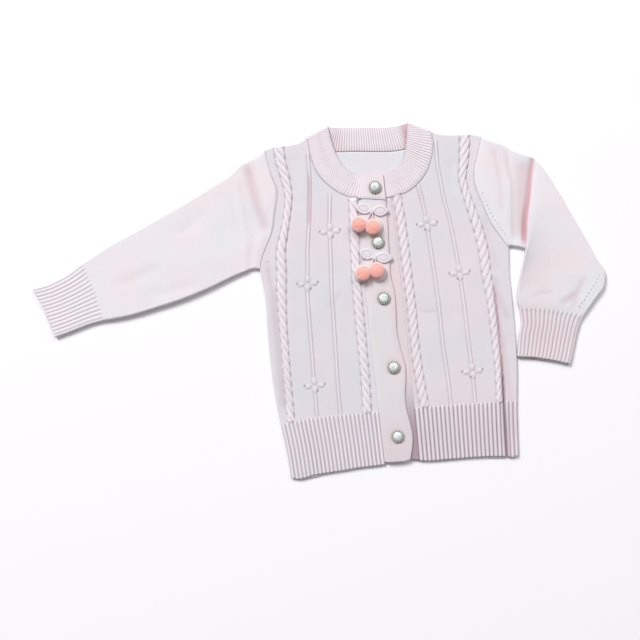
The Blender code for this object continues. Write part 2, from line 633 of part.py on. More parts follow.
def make_front(name, rows, neck, armhole, shoulder, hem, rib_top, flowers, folds, twist):
    """One front, from its side edge and armhole to the seam of its band."""
    shares = [share for share, _ in rib_shares()]
    hem_xs = [wale(rows, share, hem[0].y) for share in shares]
    hem_points = [(x, hem_height(hem, x)) for x in hem_xs]
    corner = shoulder[0]
    band_x = column(rows, "seam", 70.0)
    towards_shoulder = 0 if neck is NECK_LEFT else len(neck) - 1
    seam_row_number = seam_row(neck, band_x)
    neck_points = neck_line(neck, seam_row_number, towards_shoulder, 24)
    seam_ys = np.linspace(hem_points[-1][1], neck_points[0][1], 14)[1:-1]
    seam_points = [(column(rows, "seam", y), y) for y in seam_ys]
    side_ys = np.linspace(armhole[-1].y, hem_points[0][1], 14)[1:-1]
    side_points = [(column(rows, "side", y), y) for y in side_ys]
    outline = [
        *hem_points,
        *seam_points,
        *neck_points,
        *resample(shoulder, 9)[:-1],
        *armhole_points(armhole),
        *side_points,
    ]
    inward = 1.0 if signed_area(outline) > 0 else -1.0
    inset = [tuple(point) for point in offset(outline, inward * GAP / 2, True)]
    lines = rib_lines(rows, rib_top, inset[: len(hem_points)])
    lines += cable_lines(rows, "cable_out", twist, corner.y)
    lines += cable_lines(rows, "cable_in", twist, 72.0)
    for line_name, places in flowers.items():
        lines += rib_line(rows, line_name, places)
    return panel(
        name,
        inset,
        lines,
        lambda x, y: FRONT_Z + WALL + swell(folds, x, y),
        lambda x, y: FRONT_Z,
    )


def make_back():
    """The back, under everything else, with its neck edge along the neckband's seam."""
    right_ys = np.linspace(RIGHT_ARMHOLE[-1].y, RIGHT_HEM[0].y, 12)[1:-1]
    left_ys = np.linspace(LEFT_ARMHOLE[-1].y, LEFT_HEM[-1].y, 12)[1:-1]
    outline = [
        *resample(BACK_HEM, 24),
        *[(column(LEFT_COURSES, "side", y), y) for y in left_ys[::-1]],
        *armhole_points(LEFT_ARMHOLE)[::-1],
        *resample(LEFT_SHOULDER, 9)[::-1][1:],
        *neck_line(NECK_BACK, len(NECK_BACK) - 1, 0, 34),
        *resample(RIGHT_SHOULDER, 9)[:-1],
        *armhole_points(RIGHT_ARMHOLE),
        *[(column(RIGHT_COURSES, "side", y), y) for y in right_ys],
    ]
    inset = [tuple(point) for point in offset(outline, GAP / 2, True)]
    return panel("back", inset, [], lambda x, y: WALL, lambda x, y: 0.0)


def make_band_right():
    """The top band, which steps up from its seam on to the band that it covers."""
    row_at_seam = seam_row(NECK_RIGHT, column(RIGHT_COURSES, "seam", 71.5))
    neck = neck_line(NECK_RIGHT, 0, row_at_seam, 8)[1:]
    seam_ys = np.linspace(neck[-1][1], BAND_HEM[0].y, 16)
    outline = [
        *resample(BAND_HEM, 6)[:-1],
        *resample(BAND_EDGE, 34)[::-1],
        *neck,
        *[(column(RIGHT_COURSES, "seam", y), y) for y in seam_ys[1:-1]],
    ]
    inset = [tuple(point) for point in offset(outline, GAP / 2, True)]

    def lift(x, y):
        share = (x - column(RIGHT_COURSES, "seam", y) - 0.8) / 4.0
        return FRONT_Z + (BAND_Z - FRONT_Z) * min(max(share, 0.0), 1.0)

    folds = []
    for shift in (1.3, 2.8, 4.9):
        folds.append([(column(RIGHT_COURSES, "seam", y) + shift, y, 0.0) for y in seam_ys])
    return panel("band_right", inset, [], lambda x, y: lift(x, y) + WALL, lift, folds)


def make_band_left():
    """The under band, which shows only beyond the edge of the top one."""
    seam_ys = np.linspace(67.8, UNDER_HEM[-1].y, 14)
    seam = [(column(LEFT_COURSES, "seam", y), y) for y in seam_ys]
    row_at_seam = seam_row(NECK_LEFT, seam[0][0])
    row_at_edge = seam_row(NECK_LEFT, UNDER_EDGE_X + 2.5)
    neck = neck_line(NECK_LEFT, row_at_seam, row_at_edge, 8)
    outline = [
        *resample(UNDER_HEM, 5)[:-1],
        *seam[:0:-1],
        *neck,
        (UNDER_EDGE_X, neck[-1][1]),
    ]
    inset = [tuple(point) for point in offset(outline, GAP / 2, True)]
    return panel("band_left", inset, [], lambda x, y: FRONT_Z + WALL, lambda x, y: FRONT_Z)


def strip_stations(rows, facing):
    """Stations of one stretch of the neckband, two a rib.

    Each is (seam point, free point, the direction of the outer face, rise of each face).
    """
    numbers = range(len(rows))
    middles = [((r.seam_x + r.free_x) / 2, (r.seam_y + r.free_y) / 2) for r in rows]
    steps = [math.dist(a, b) for a, b in zip(middles, middles[1:])]
    length = np.concatenate([[0.0], np.cumsum(steps)])
    count = 2 * int(length[-1] / NECK_RIB_PITCH) + 1
    stations = []
    for step in range(count):
        at = float(np.interp(step / (count - 1) * length[-1], length, numbers))
        row = Strip(*[follow(numbers, [r[k] for r in rows], at) for k in range(len(rows[0]))])
        rise = max(row.rise, 0.0) * (1.0 if step % 2 else -0.6)
        middle_z = row.level + WALL / 2
        seam = Vector((row.seam_x, row.seam_y, middle_z))
        free = Vector((row.free_x, row.free_y, middle_z))
        outer_rise, inner_rise = (rise, 0.0) if facing > 0 else (0.0, rise)
        stations.append((seam, free, Vector((0.0, 0.0, facing)), outer_rise, inner_rise))
    return stations


def strip_bend(before, after):
    """Stations round a fold, from the end of one stretch of the neckband to the next."""
    middles = [(before[k] + after[k]) / 2 for k in (0, 1)]
    radius = abs(before[0].z - after[0].z) / 2
    along = middles[1] - middles[0]
    out = Vector((-along.y, along.x, 0.0)).normalized()
    if out.y < 0:
        out = -out
    turn = 1.0 if before[0].z > after[0].z else -1.0
    bend = []
    for step in range(1, NECK_BEND_STEPS):
        angle = turn * (math.pi / 2 - math.pi * step / NECK_BEND_STEPS)
        facing = out * math.cos(angle) + Vector((0.0, 0.0, math.sin(angle)))
        bend.append((middles[0] + radius * facing, middles[1] + radius * facing, facing, 0.0, 0.0))
    return bend


def make_neckband():
    """The ribbed neckband, folded flat at both shoulders."""
    right = strip_stations(NECK_RIGHT, 1.0)
    back = strip_stations(NECK_BACK, -1.0)
    left = strip_stations(NECK_LEFT, 1.0)
    stations = [*right, *strip_bend(right[-1], back[0]), *back, *strip_bend(back[-1], left[0]),
                *left]
    mesh = bmesh.new()
    rings = []
    for seam, free, facing, outer_rise, inner_rise in stations:
        inward = (free - seam).normalized() * GAP / 2
        outer = facing * (WALL / 2 + outer_rise)
        inner = facing * (WALL / 2 + inner_rise)
        corners = (seam + inward + outer, free + outer, free - inner, seam + inward - inner)
        rings.append([mesh.verts.new(corner) for corner in corners])
    for here, there in zip(rings, rings[1:]):
        for k in range(4):
            mesh.faces.new([here[k], here[(k + 1) % 4], there[(k + 1) % 4], there[k]])
    mesh.faces.new(rings[0])
    mesh.faces.new(rings[-1])
    return new_object("neckband", mesh, RIBBING)


def zip_loops(mesh, first, second):
    """Joins two closed loops of (place, vertex) with triangles; places run from 0 to 2."""
    i = 0
    j = 0
    while i < len(first) or j < len(second):
        next_i = first[i + 1][0] if i + 1 < len(first) else 2.0 + first[0][0]
        next_j = second[j + 1][0] if j + 1 < len(second) else 2.0 + second[0][0]
        here_i = first[i % len(first)][1]
        here_j = second[j % len(second)][1]
        if j >= len(second) or (i < len(first) and next_i <= next_j):
            mesh.faces.new([here_i, first[(i + 1) % len(first)][1], here_j])
            i += 1
        else:
            mesh.faces.new([here_i, second[(j + 1) % len(second)][1], here_j])
            j += 1


def ring_point(row, seam, side, share):
    """The plan position of a share of the way across a sleeve's ring, from its outer edge."""
    outer = np.array([row.outer_x, row.outer_y])
    inner = np.array([row.inner_x, row.inner_y])
    place = outer + share * (inner - outer)
    if row.bow:
        at = share * (len(seam) - 1)
        low = min(int(at), len(seam) - 2)
        curve = seam[low] + (at - low) * (seam[low + 1] - seam[low])
        chord = seam[0] + share * (seam[-1] - seam[0])
        place = place + row.bow * (curve - chord)
    across = (inner - outer) / np.linalg.norm(inner - outer)
    back = side * np.array([-across[1], across[0]])
    return place + row.belly * math.sin(math.pi * share) * back


def ring_height(row, share):
    """The height of a sleeve's upper face at a share of the way across."""
    eased = share * share * (3 - 2 * share)
    return row.outer_h + eased * (row.inner_h - row.outer_h)


def outer_ring(mesh, row, seam, side, ribs, overhang):
    """The outer skin's ring: over the top from the outer edge, then back along the table."""
    width = math.dist((row.outer_x, row.outer_y), (row.inner_x, row.inner_y))
    rim = [(inset / width, part) for inset, part in SLEEVE_EDGE]
    top = [(share, part, 0.0) for share, part in rim]
    if ribs:
        first = rim[-1][0]
        for rib in range(SLEEVE_RIBS):
            for part, rise in zip(RIB_SHARES, (RIB_VALLEY, RIB_CREST, RIB_CREST)):
                if rib or part:
                    share = first + (1 - 2 * first) * (rib + part) / SLEEVE_RIBS
                    top.append((share, 1.0, rise * ribs))
    else:
        for step in range(1, SLEEVE_ARMHOLE_STEPS):
            share = step / SLEEVE_ARMHOLE_STEPS
            top.append((share, 1.0, 0.0))
    edge = LAYERED_EDGE if row.inner_h > LAYERED_FROM else SLEEVE_EDGE
    first_place = 1 - edge[-1][0] / width
    loop = []
    for share, part, rise in top:
        x, y = ring_point(row, seam, side, share)
        loop.append((share, mesh.verts.new((x, y, part * ring_height(row, share) + rise))))
    for step, (inset, part) in enumerate(edge[::-1]):
        x, y = ring_point(row, seam, side, 1 - inset / width)
        place = first_place + step / (len(edge) - 1) * (1 - first_place)
        loop.append((place, mesh.verts.new((x, y, part * row.inner_h))))
    under = np.linspace(1 - rim[1][0], rim[1][0], SLEEVE_UNDER_STEPS)
    if row.bow:
        under = [1 - rim[1][0], *[k / SLEEVE_ARMHOLE_STEPS
                 for k in range(SLEEVE_ARMHOLE_STEPS - 1, 0, -1)], rim[1][0]]
    for share in under:
        x, y = ring_point(row, seam, side, share)
        x += overhang[0] * math.sin(math.pi * share)
        y += overhang[1] * math.sin(math.pi * share)
        loop.append((2 - share, mesh.verts.new((x, y, 0.0))))
    return loop


def cavity_ring(mesh, row, seam, side):
    """The ring of the sleeve's hollow, one wall inside the outer skin."""
    width = math.dist((row.outer_x, row.outer_y), (row.inner_x, row.inner_y))
    tip = CAVITY_INSET / width
    shoulder = 2 * tip
    steps = SLEEVE_ARMHOLE_STEPS if row.bow else CAVITY_STEPS
    inside = [k / steps for k in range(1, steps)]
    shares = [shoulder, *[s for s in inside if shoulder < s < 1 - shoulder], 1 - shoulder]
    ceiling = {share: ring_height(row, share) - WALL for share in (tip, *shares, 1 - tip)}
    places = [(tip, (ceiling[tip] + WALL) / 2)]
    places += [(share, ceiling[share]) for share in shares]
    places.append((1 - tip, (ceiling[1 - tip] + WALL) / 2))
    loop = []
    for share, z in places:
        x, y = ring_point(row, seam, side, share)
        loop.append((share, mesh.verts.new((x, y, z))))
    for share in shares[::-1]:
        x, y = ring_point(row, seam, side, share)
        loop.append((2 - share, mesh.verts.new((x, y, WALL))))
    return loop


def make_sleeve(name, rows, armhole, side, rib_row, hollows, overhang):
    """A flattened sleeve, open at the armhole and at the cuff.

    `hollows` are the stretches of rows with a space between the layers. Where a fold lies over the
    rest, the layers are one solid.
    """
    seam = offset(armhole_points(armhole), -side * GAP / 2, False)
    rows = list(rows)
    start = rows[0]
    rows[0] = start._replace(outer_x=seam[0][0], outer_y=seam[0][1],
                             inner_x=seam[-1][0], inner_y=seam[-1][1])
    mesh = bmesh.new()
    last = len(rows) - 1
    skins = []
    for number, row in enumerate(rows):
        ribs = 0.0 if number < rib_row else (1.0 if number > rib_row else 1e-3)
        reach = overhang if number == last else (0.0, 0.0)
        skins.append(outer_ring(mesh, row, seam, side, ribs, reach))
    for here, there in zip(skins, skins[1:]):
        zip_loops(mesh, here, there)
    for first, end in hollows:
        cavity = [cavity_ring(mesh, row, seam, side) for row in rows[first : end + 1]]
        for here, there in zip(cavity, cavity[1:]):
            zip_loops(mesh, here, there)
        if first == 0:
            zip_loops(mesh, skins[0], cavity[0])
        else:
            mesh.faces.new([vertex for _, vertex in cavity[0]])
        if end == last:
            zip_loops(mesh, skins[-1], cavity[-1])
        else:
            mesh.faces.new([vertex for _, vertex in cavity[-1]])
    return new_object(name, mesh, KNIT)


def turned(name, profile, centre, base, finish):
    """A solid of revolution from a profile that starts and ends on the axis."""
    mesh = bmesh.new()
    rings = []
    for point in profile:
        if point.radius == 0:
            rings.append([mesh.verts.new((centre.x, centre.y, base + point.height))])
            continue
        ring = []
        for step in range(BUTTON_SEGMENTS):
            angle = step * math.tau / BUTTON_SEGMENTS
            x = centre.x + point.radius * math.cos(angle)
            y = centre.y + point.radius * math.sin(angle)
            ring.append(mesh.verts.new((x, y, base + point.height)))
        rings.append(ring)
    for here, there in zip(rings, rings[1:]):
        for k in range(BUTTON_SEGMENTS):
            corners = [here[k % len(here)], here[(k + 1) % len(here)],
                       there[(k + 1) % len(there)], there[k % len(there)]]
            mesh.faces.new(list(dict.fromkeys(corners)))
    return new_object(name, mesh, finish)


def make_buttons():
    """Five buttons: a metal rim with a dish in it, and the pearly centre that the dish holds."""
    for number, button in enumerate(BUTTONS, 1):
        base = button.face + GAP
        turned(f"button_{number}_rim", RIM_PROFILE, button, base, BRASS)
        turned(f"button_{number}_pearl", PEARL_PROFILE, button, base, PEARL)


def plate(outline, bottom, thick):
    """A flat plate over an outline, as a bmesh."""
    mesh = bmesh.new()
    face = mesh.faces.new([mesh.verts.new((x, y, bottom)) for x, y in outline])
    raised = bmesh.ops.extrude_face_region(mesh, geom=[face])["geom"]
    verts = [item for item in raised if isinstance(item, bmesh.types.BMVert)]
    bmesh.ops.translate(mesh, vec=(0.0, 0.0, thick), verts=verts)
    return mesh


def leaf_outline(root, tip):
    """A leaf from its root to its tip, widest at its middle."""
    length = math.dist(root, tip)
    along = np.array([tip.x - root.x, tip.y - root.y]) / length
    across = np.array([-along[1], along[0]])
    places = [step / LEAF_STEPS for step in range(LEAF_STEPS + 1)]
    edge = []
    for side, run in ((1, places), (-1, places[-2:0:-1])):
        for share in run:
            half = side * LEAF_WIDTH / 2 * math.sin(math.pi * share) ** LEAF_ROUNDNESS
            edge.append(tuple(np.array(root) + share * length * along + half * across))
    return edge


def round_outline(centre, radius, sides):
    """A regular polygon round a centre."""
    angles = [step * math.tau / sides for step in range(sides)]
    return [(centre.x + radius * math.cos(a), centre.y + radius * math.sin(a)) for a in angles]


def stem_mesh(knot, cherry, bow):
    """A stem that bows from the knot to the edge of its cherry, square in section."""
    mesh = bmesh.new()
    reach = 1.0 - STEM_SHORT / math.dist(knot, cherry)
    rings = []
    for step in range(STEM_POINTS):
        share = reach * step / (STEM_POINTS - 1)
        x = knot.x + share * (cherry.x - knot.x) - bow[0] * math.sin(math.pi * share)
        y = knot.y + share * (cherry.y - knot.y) + bow[1] * math.sin(math.pi * share)
        z = SPRIG_Z + STEM_RADIUS + STEM_LIFT
        corners = [(x - STEM_RADIUS, y, z), (x, y, z + STEM_RADIUS),
                   (x + STEM_RADIUS, y, z), (x, y, z - STEM_RADIUS)]
        rings.append([mesh.verts.new(corner) for corner in corners])
    for here, there in zip(rings, rings[1:]):
        for k in range(4):
            mesh.faces.new([here[k], here[(k + 1) % 4], there[(k + 1) % 4], there[k]])
    mesh.faces.new(rings[0])
    mesh.faces.new(rings[-1])
    return mesh


def make_sprig(sprig):
    """Two leaves, a knot, two stems and two base discs, joined into one applique."""
    shapes = [
        plate(round_outline(sprig.disc_right, sprig.disc_radius, DISC_SIDES), SPRIG_Z, DISC_THICK),
        plate(round_outline(sprig.disc_left, sprig.disc_radius, DISC_SIDES), SPRIG_Z, DISC_THICK),
        plate(leaf_outline(sprig.knot, sprig.leaf_right), SPRIG_Z, LEAF_THICK - LEAF_STEP),
        plate(leaf_outline(sprig.knot, sprig.leaf_left), SPRIG_Z, LEAF_THICK + LEAF_STEP),
        plate(round_outline(sprig.knot, KNOT_RADIUS, KNOT_SIDES), SPRIG_Z, KNOT_HEIGHT),
        stem_mesh(sprig.knot, sprig.cherry_right, STEM_BOW_RIGHT),
        stem_mesh(sprig.knot, sprig.cherry_left, STEM_BOW_LEFT),
    ]
    name = f"cherry_{sprig.name}"
    body = new_object(name, shapes[0], KNIT)
    for number, shape in enumerate(shapes[1:], 1):
        joined = new_object(f"{name}_join_{number}", shape, KNIT)
        joined.hide_render = True
        joined.display_type = "WIRE"
        union = body.modifiers.new(f"join_{number}", "BOOLEAN")
        union.operation = "UNION"
        union.solver = "EXACT"
        union.object = joined
    return body


def make_pompom(name, centre, random):
    """A fluffy ball: three-sided locks that stand on a core, flatter than it is wide."""
    mesh = bmesh.new()
    bmesh.ops.create_icosphere(mesh, subdivisions=2, radius=1.0)
    turn = Matrix.Rotation(random.uniform(0, math.tau), 3, "Z")
    bmesh.ops.rotate(mesh, matrix=turn, verts=mesh.verts)
    faces = sorted(mesh.faces, key=lambda face: -face.calc_center_median().z)[:POMPOM_LOCKS]
    tips = [face.calc_center_median().normalized() for face in faces]
    tips = [tip * random.uniform(0.9, 1.0) * POMPOM_REACH for tip in tips]
    for vertex in mesh.verts:
        vertex.co *= POMPOM_CORE
    for face, tip in zip(faces, tips):
        made = bmesh.ops.poke(mesh, faces=[face])
        made["verts"][0].co = tip
    low = min(vertex.co.z for vertex in mesh.verts)
    base = SPRIG_Z + DISC_THICK + GAP
    for vertex in mesh.verts:
        x, y, z = vertex.co
        vertex.co = (centre.x + x, centre.y + y, base + (z - low) * POMPOM_FLAT)
    return new_object(name, mesh, CORAL)


def make_cherries():
    """Both sprigs with their pompoms."""
    random = np.random.default_rng(POMPOM_SEED)
    for sprig in SPRIGS:
        make_sprig(sprig)
        for side in ("right", "left"):
            cherry = getattr(sprig, f"cherry_{side}")
            make_pompom(f"pompom_{sprig.name}_{side}", cherry, random)


def clear_scene():
    """Removes whatever the scene starts with."""
    for item in list(bpy.data.objects):
        bpy.data.objects.remove(item, do_unlink=True)


def main():
    """Builds the cardigan."""
    clear_scene()
    make_back()
    make_front("front_right", RIGHT_COURSES, NECK_RIGHT, RIGHT_ARMHOLE, RIGHT_SHOULDER, RIGHT_HEM,
               RIGHT_RIB_TOP, RIGHT_FLOWERS, (), 1.0)
    make_front("front_left", LEFT_COURSES, NECK_LEFT, LEFT_ARMHOLE, LEFT_SHOULDER, LEFT_HEM,
               LEFT_RIB_TOP, LEFT_FLOWERS, LEFT_FOLDS, -1.0)
    make_band_right()
    make_band_left()
    make_neckband()
    make_sleeve("sleeve_right", SLEEVE_RIGHT, RIGHT_ARMHOLE, 1.0, 11, ((0, 16),), (0.0, 0.0))
    make_sleeve("sleeve_left", SLEEVE_LEFT, LEFT_ARMHOLE, -1.0, 17, ((0, 4), (12, 22)),
                (-0.9, -3.4))
    make_buttons()
    make_cherries()


if __name__ == "__main__":
    main()
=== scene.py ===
"""The finish of a child's knitted cardigan, buttoned up and laid flat on a pale table.

World frame: metres, +X to the wearer's left, +Y up the centre front to the neck, +Z up from the
table. Tables and sizes below are in millimetres, as a knitter notes them, and MM turns them into
metres where a mesh is made.

Each knitted piece is a fine wall in the form of its solid. Its stitches are counted in a UV map
that follows the knitting, and a Geometry Nodes tree raises the ribs, cables and rib lines.
"""

import logging
import math
from collections import namedtuple
from dataclasses import dataclass, field
from enum import Enum

import bmesh
import bpy
import numpy as np
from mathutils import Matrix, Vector


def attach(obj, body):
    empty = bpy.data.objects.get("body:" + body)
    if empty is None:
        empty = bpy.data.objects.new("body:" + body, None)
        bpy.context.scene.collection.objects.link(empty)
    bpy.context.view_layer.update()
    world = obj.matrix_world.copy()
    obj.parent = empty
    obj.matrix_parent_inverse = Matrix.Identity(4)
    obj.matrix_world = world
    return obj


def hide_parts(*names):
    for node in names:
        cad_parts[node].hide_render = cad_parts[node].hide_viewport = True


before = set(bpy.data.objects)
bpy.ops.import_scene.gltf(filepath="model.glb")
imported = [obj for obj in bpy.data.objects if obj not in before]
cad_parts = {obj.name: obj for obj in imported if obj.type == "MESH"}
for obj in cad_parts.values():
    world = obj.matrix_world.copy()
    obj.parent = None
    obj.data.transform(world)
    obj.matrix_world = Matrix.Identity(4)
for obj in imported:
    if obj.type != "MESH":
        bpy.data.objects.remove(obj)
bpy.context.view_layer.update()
LOG = logging.getLogger("cardigan")

MM = 0.001
BODY = "root"

# Cloth and layers, as in the solids
GAP = 0.3
WALL = 2.0
FRONT_Z = WALL + GAP
BAND_Z = FRONT_Z + WALL + GAP
BAND_FACE = BAND_Z + WALL
SPRIG_Z = BAND_FACE + GAP
NECK_TOP_LEVEL = 5.2
NECK_LEVEL = 2.8
NECK_RISE = 0.5

# Gauge: one stitch is this wide and this high. The real one is narrower, about 1.3 mm, and would
# not show in a picture of the whole garment.
STITCH_WIDE = 1.65
STITCH_HIGH = 1.15

# Counts of ribs, and of stitches in each rib, and the spacing of the neck's ribs
HEM_RIBS = 24
CUFF_RIBS = 13
STITCHES_A_RIB = 3
NECK_RIB_PITCH = 2.75

# Cables, rib lines and flowers: a cable's turn, and how far out a line's valleys are. Each is
# looked for up to its reach, in half widths for a cable, and is far off beyond that.
CABLE_PITCH = 11.6
CABLE_BOTTOM_Y = -170.5
CABLE_REACH = 1.6
LINE_HALF = 1.9
LINE_REACH = 8.0
FLOWER_REACH = 8.8
FAR_OFF = 99.0

# Over what height each kind of relief fades out at its ends
RIB_FADE = 2.4
BODY_FADE = 1.8
CABLE_FADE = 3.0
LINE_FADE = 4.0
FLOWER_FADE = 1.5

# The four petals of a flower: their middles from its own, half their widths and half their heights
Petal = namedtuple("Petal", "out up wide high")
PETALS = (
    Petal(0.0, 4.7, 3.2, 4.4), Petal(0.0, -4.8, 3.4, 4.7),
    Petal(-7.6, -0.4, 4.3, 3.2), Petal(7.6, -0.4, 4.3, 3.2),
)
PETAL_RISE = 0.5
PETAL_GROOVE = 0.4
PETAL_GROOVE_WIDE = 0.15
PETAL_SHADE = 0.62

# A flower's eyelets, from its middle: beyond both side petals, and low beside the lower one.
# Each is counted towards the band and up.
Point = namedtuple("Point", "x y")
EYELETS = (Point(11.5, 0.3), Point(2.9, -6.4), Point(-11.4, 0.6))
EYELET_RADIUS = 0.8

# Over what length a crease fades at each end
CREASE_FADE = 14.0

# How far in a wall is rounded, at a free edge and at a sewn one, how far down as a share of
# that, and how far in its flat underside starts
FREE_ROLL = 1.6
SEWN_ROLL = 0.6
ROLL_DROP = 0.55
TUCK = 0.5

# One row a height: the side edge, then the middle of each cable and line, then the band's seam
Course = namedtuple("Course", "y side cable_out line_out line_in cable_in seam")
RIGHT_COURSES = (
    Course(140, -141.0, -104.6, -73.0, -47.0, -23.0, -20.0),
    Course(120, -141.0, -103.8, -72.8, -49.0, -24.0, -20.5),
    Course(100, -141.0, -100.5, -73.2, -50.8, -25.2, -21.0),
    Course(80, -141.0, -99.3, -75.1, -52.2, -26.3, -21.3),
    Course(60, -141.0, -103.0, -77.6, -54.5, -27.6, -21.8),
    Course(40, -141.0, -108.5, -80.5, -56.6, -29.0, -23.0),
    Course(20, -141.0, -114.0, -83.7, -58.0, -30.4, -23.7),
    Course(0, -140.0, -115.6, -85.8, -59.3, -31.5, -24.0),
    Course(-30, -137.5, -118.6, -89.2, -61.7, -33.0, -24.0),
    Course(-60, -138.5, -120.5, -90.3, -62.8, -33.5, -24.0),
    Course(-100, -139.0, -121.5, -91.3, -64.3, -33.8, -23.8),
    Course(-140, -138.0, -122.5, -92.4, -66.0, -34.5, -23.5),
    Course(-175, -134.7, -122.8, -93.0, -66.3, -36.0, -23.2),
    Course(-205, -131.3, -122.8, -93.0, -66.3, -36.0, -22.9),
    Course(-240, -129.4, -122.8, -93.0, -66.3, -36.0, -22.5),
)
LEFT_COURSES = (
    Course(140, 142.5, 107.5, 73.0, 44.0, 20.0, 13.5),
    Course(120, 142.5, 105.0, 72.6, 45.0, 20.5, 13.7),
    Course(100, 142.5, 102.0, 72.0, 46.0, 21.0, 14.0),
    Course(80, 142.5, 98.3, 73.5, 47.0, 21.3, 14.4),
    Course(60, 142.5, 101.3, 75.3, 50.3, 22.8, 15.3),
    Course(40, 142.5, 105.8, 78.5, 52.8, 24.5, 16.3),
    Course(20, 142.5, 110.5, 80.8, 53.7, 24.9, 16.8),
    Course(0, 142.5, 113.3, 82.5, 54.8, 25.2, 17.0),
    Course(-30, 140.0, 114.4, 84.2, 56.0, 25.5, 17.3),
    Course(-60, 140.0, 116.5, 85.5, 57.0, 26.0, 17.5),
    Course(-100, 139.5, 117.0, 86.0, 57.0, 25.3, 17.5),
    Course(-140, 137.5, 116.8, 86.9, 58.5, 26.8, 17.5),
    Course(-175, 133.7, 114.6, 86.4, 59.0, 29.2, 17.3),
    Course(-205, 131.2, 114.6, 86.4, 59.0, 29.2, 17.0),
    Course(-240, 129.0, 114.6, 86.4, 59.0, 29.2, 16.5),
)

# Half the width of each cable at a few heights
Girth = namedtuple("Girth", "y cable_out cable_in")
RIGHT_GIRTHS = (
    Girth(140, 5.0, 4.2), Girth(106, 4.4, 4.2), Girth(80, 3.6, 4.2), Girth(58, 3.4, 4.2),
    Girth(15, 4.5, 4.2), Girth(-22, 4.6, 4.2), Girth(-64, 3.9, 4.2), Girth(-172, 3.7, 4.2),
)
LEFT_GIRTHS = (
    Girth(140, 4.8, 4.2), Girth(106, 4.7, 4.2), Girth(80, 3.6, 4.2), Girth(58, 3.8, 4.2),
    Girth(15, 4.8, 4.2), Girth(-22, 4.5, 4.2), Girth(-64, 4.1, 4.2), Girth(-172, 3.5, 4.2),
)

# Boundary lines
RIGHT_ARMHOLE = (
    Point(-120.5, 136.5), Point(-120.0, 127.0), Point(-118.5, 117.0), Point(-115.0, 103.0),
    Point(-111.8, 92.0), Point(-113.2, 80.0), Point(-116.0, 70.0), Point(-118.3, 60.0),
    Point(-121.3, 48.0), Point(-125.5, 38.0), Point(-131.0, 28.0), Point(-136.0, 18.0),
    Point(-139.2, 10.0), Point(-140.6, 2.0),
)
LEFT_ARMHOLE = (
    Point(123.4, 126.8), Point(121.3, 118.0), Point(117.8, 108.0), Point(113.3, 96.0),
    Point(111.2, 86.0), Point(110.8, 77.0), Point(112.0, 68.0), Point(114.4, 60.0),
    Point(117.8, 49.0), Point(121.3, 38.5), Point(125.3, 28.0), Point(130.5, 18.0),
    Point(136.5, 8.0), Point(142.2, -1.5),
)
RIGHT_SHOULDER = (
    Point(-72.2, 147.0), Point(-75.0, 143.6), Point(-80.0, 140.8), Point(-90.0, 138.9),
    Point(-100.0, 138.5), Point(-110.0, 138.4), Point(-120.5, 136.5),
)
LEFT_SHOULDER = (
    Point(69.3, 138.6), Point(71.6, 136.0), Point(80.0, 132.9), Point(90.0, 131.2),
    Point(100.0, 130.4), Point(111.0, 129.6), Point(123.4, 126.8),
)
RIGHT_HEM = (
    Point(-129.6, -235.3), Point(-126.0, -236.9), Point(-100.0, -235.0), Point(-70.0, -233.5),
    Point(-50.0, -232.2), Point(-28.0, -232.0), Point(-22.5, -231.6),
)
LEFT_HEM = (
    Point(16.6, -231.3), Point(25.0, -232.5), Point(50.0, -233.5), Point(80.0, -234.2),
    Point(100.0, -235.5), Point(115.0, -237.2), Point(125.0, -238.4), Point(129.2, -236.0),
)
BACK_HEM = (
    Point(-129.6, -234.8), Point(-125.0, -236.8), Point(-70.0, -232.6), Point(-20.0, -228.5),
    Point(20.0, -229.2), Point(70.0, -233.0), Point(124.0, -237.2), Point(129.2, -235.4),
)
RIGHT_RIB_TOP = (Point(-135.0, -174.5), Point(-110.0, -172.0), Point(-22.0, -172.0))
LEFT_RIB_TOP = (
    Point(17.0, -172.0), Point(45.0, -172.4), Point(90.0, -174.0), Point(134.0, -176.5),
)
BAND_EDGE = (
    Point(9.4, 66.0), Point(9.2, 45.0), Point(7.6, 15.0), Point(6.8, -2.0), Point(6.0, -18.0),
    Point(8.6, -40.0), Point(7.6, -62.0), Point(6.5, -85.0), Point(9.0, -106.0),
    Point(11.8, -122.0), Point(10.6, -140.0), Point(8.3, -155.0), Point(8.2, -172.0),
    Point(10.8, -190.0), Point(11.9, -202.0), Point(10.0, -216.0), Point(6.6, -228.6),
)
BAND_HEM = (Point(-22.5, -229.4), Point(-8.0, -230.2), Point(2.0, -230.0), Point(6.6, -228.6))
UNDER_HEM = (Point(-14.5, -228.4), Point(2.0, -228.4), Point(16.6, -230.8))
UNDER_EDGE_X = -14.5

# Flowers: the line that each stands on, and its height
RIGHT_FLOWERS = {"line_in": (37.0,), "line_out": (-19.0, -134.5)}
LEFT_FLOWERS = {"line_in": (34.0,), "line_out": (-25.0, -137.0)}
LINE_TOPS = {"line_out": 128.0, "line_in": 80.0}
CABLE_TOPS = {"cable_out": 146.0, "cable_in": 72.0}

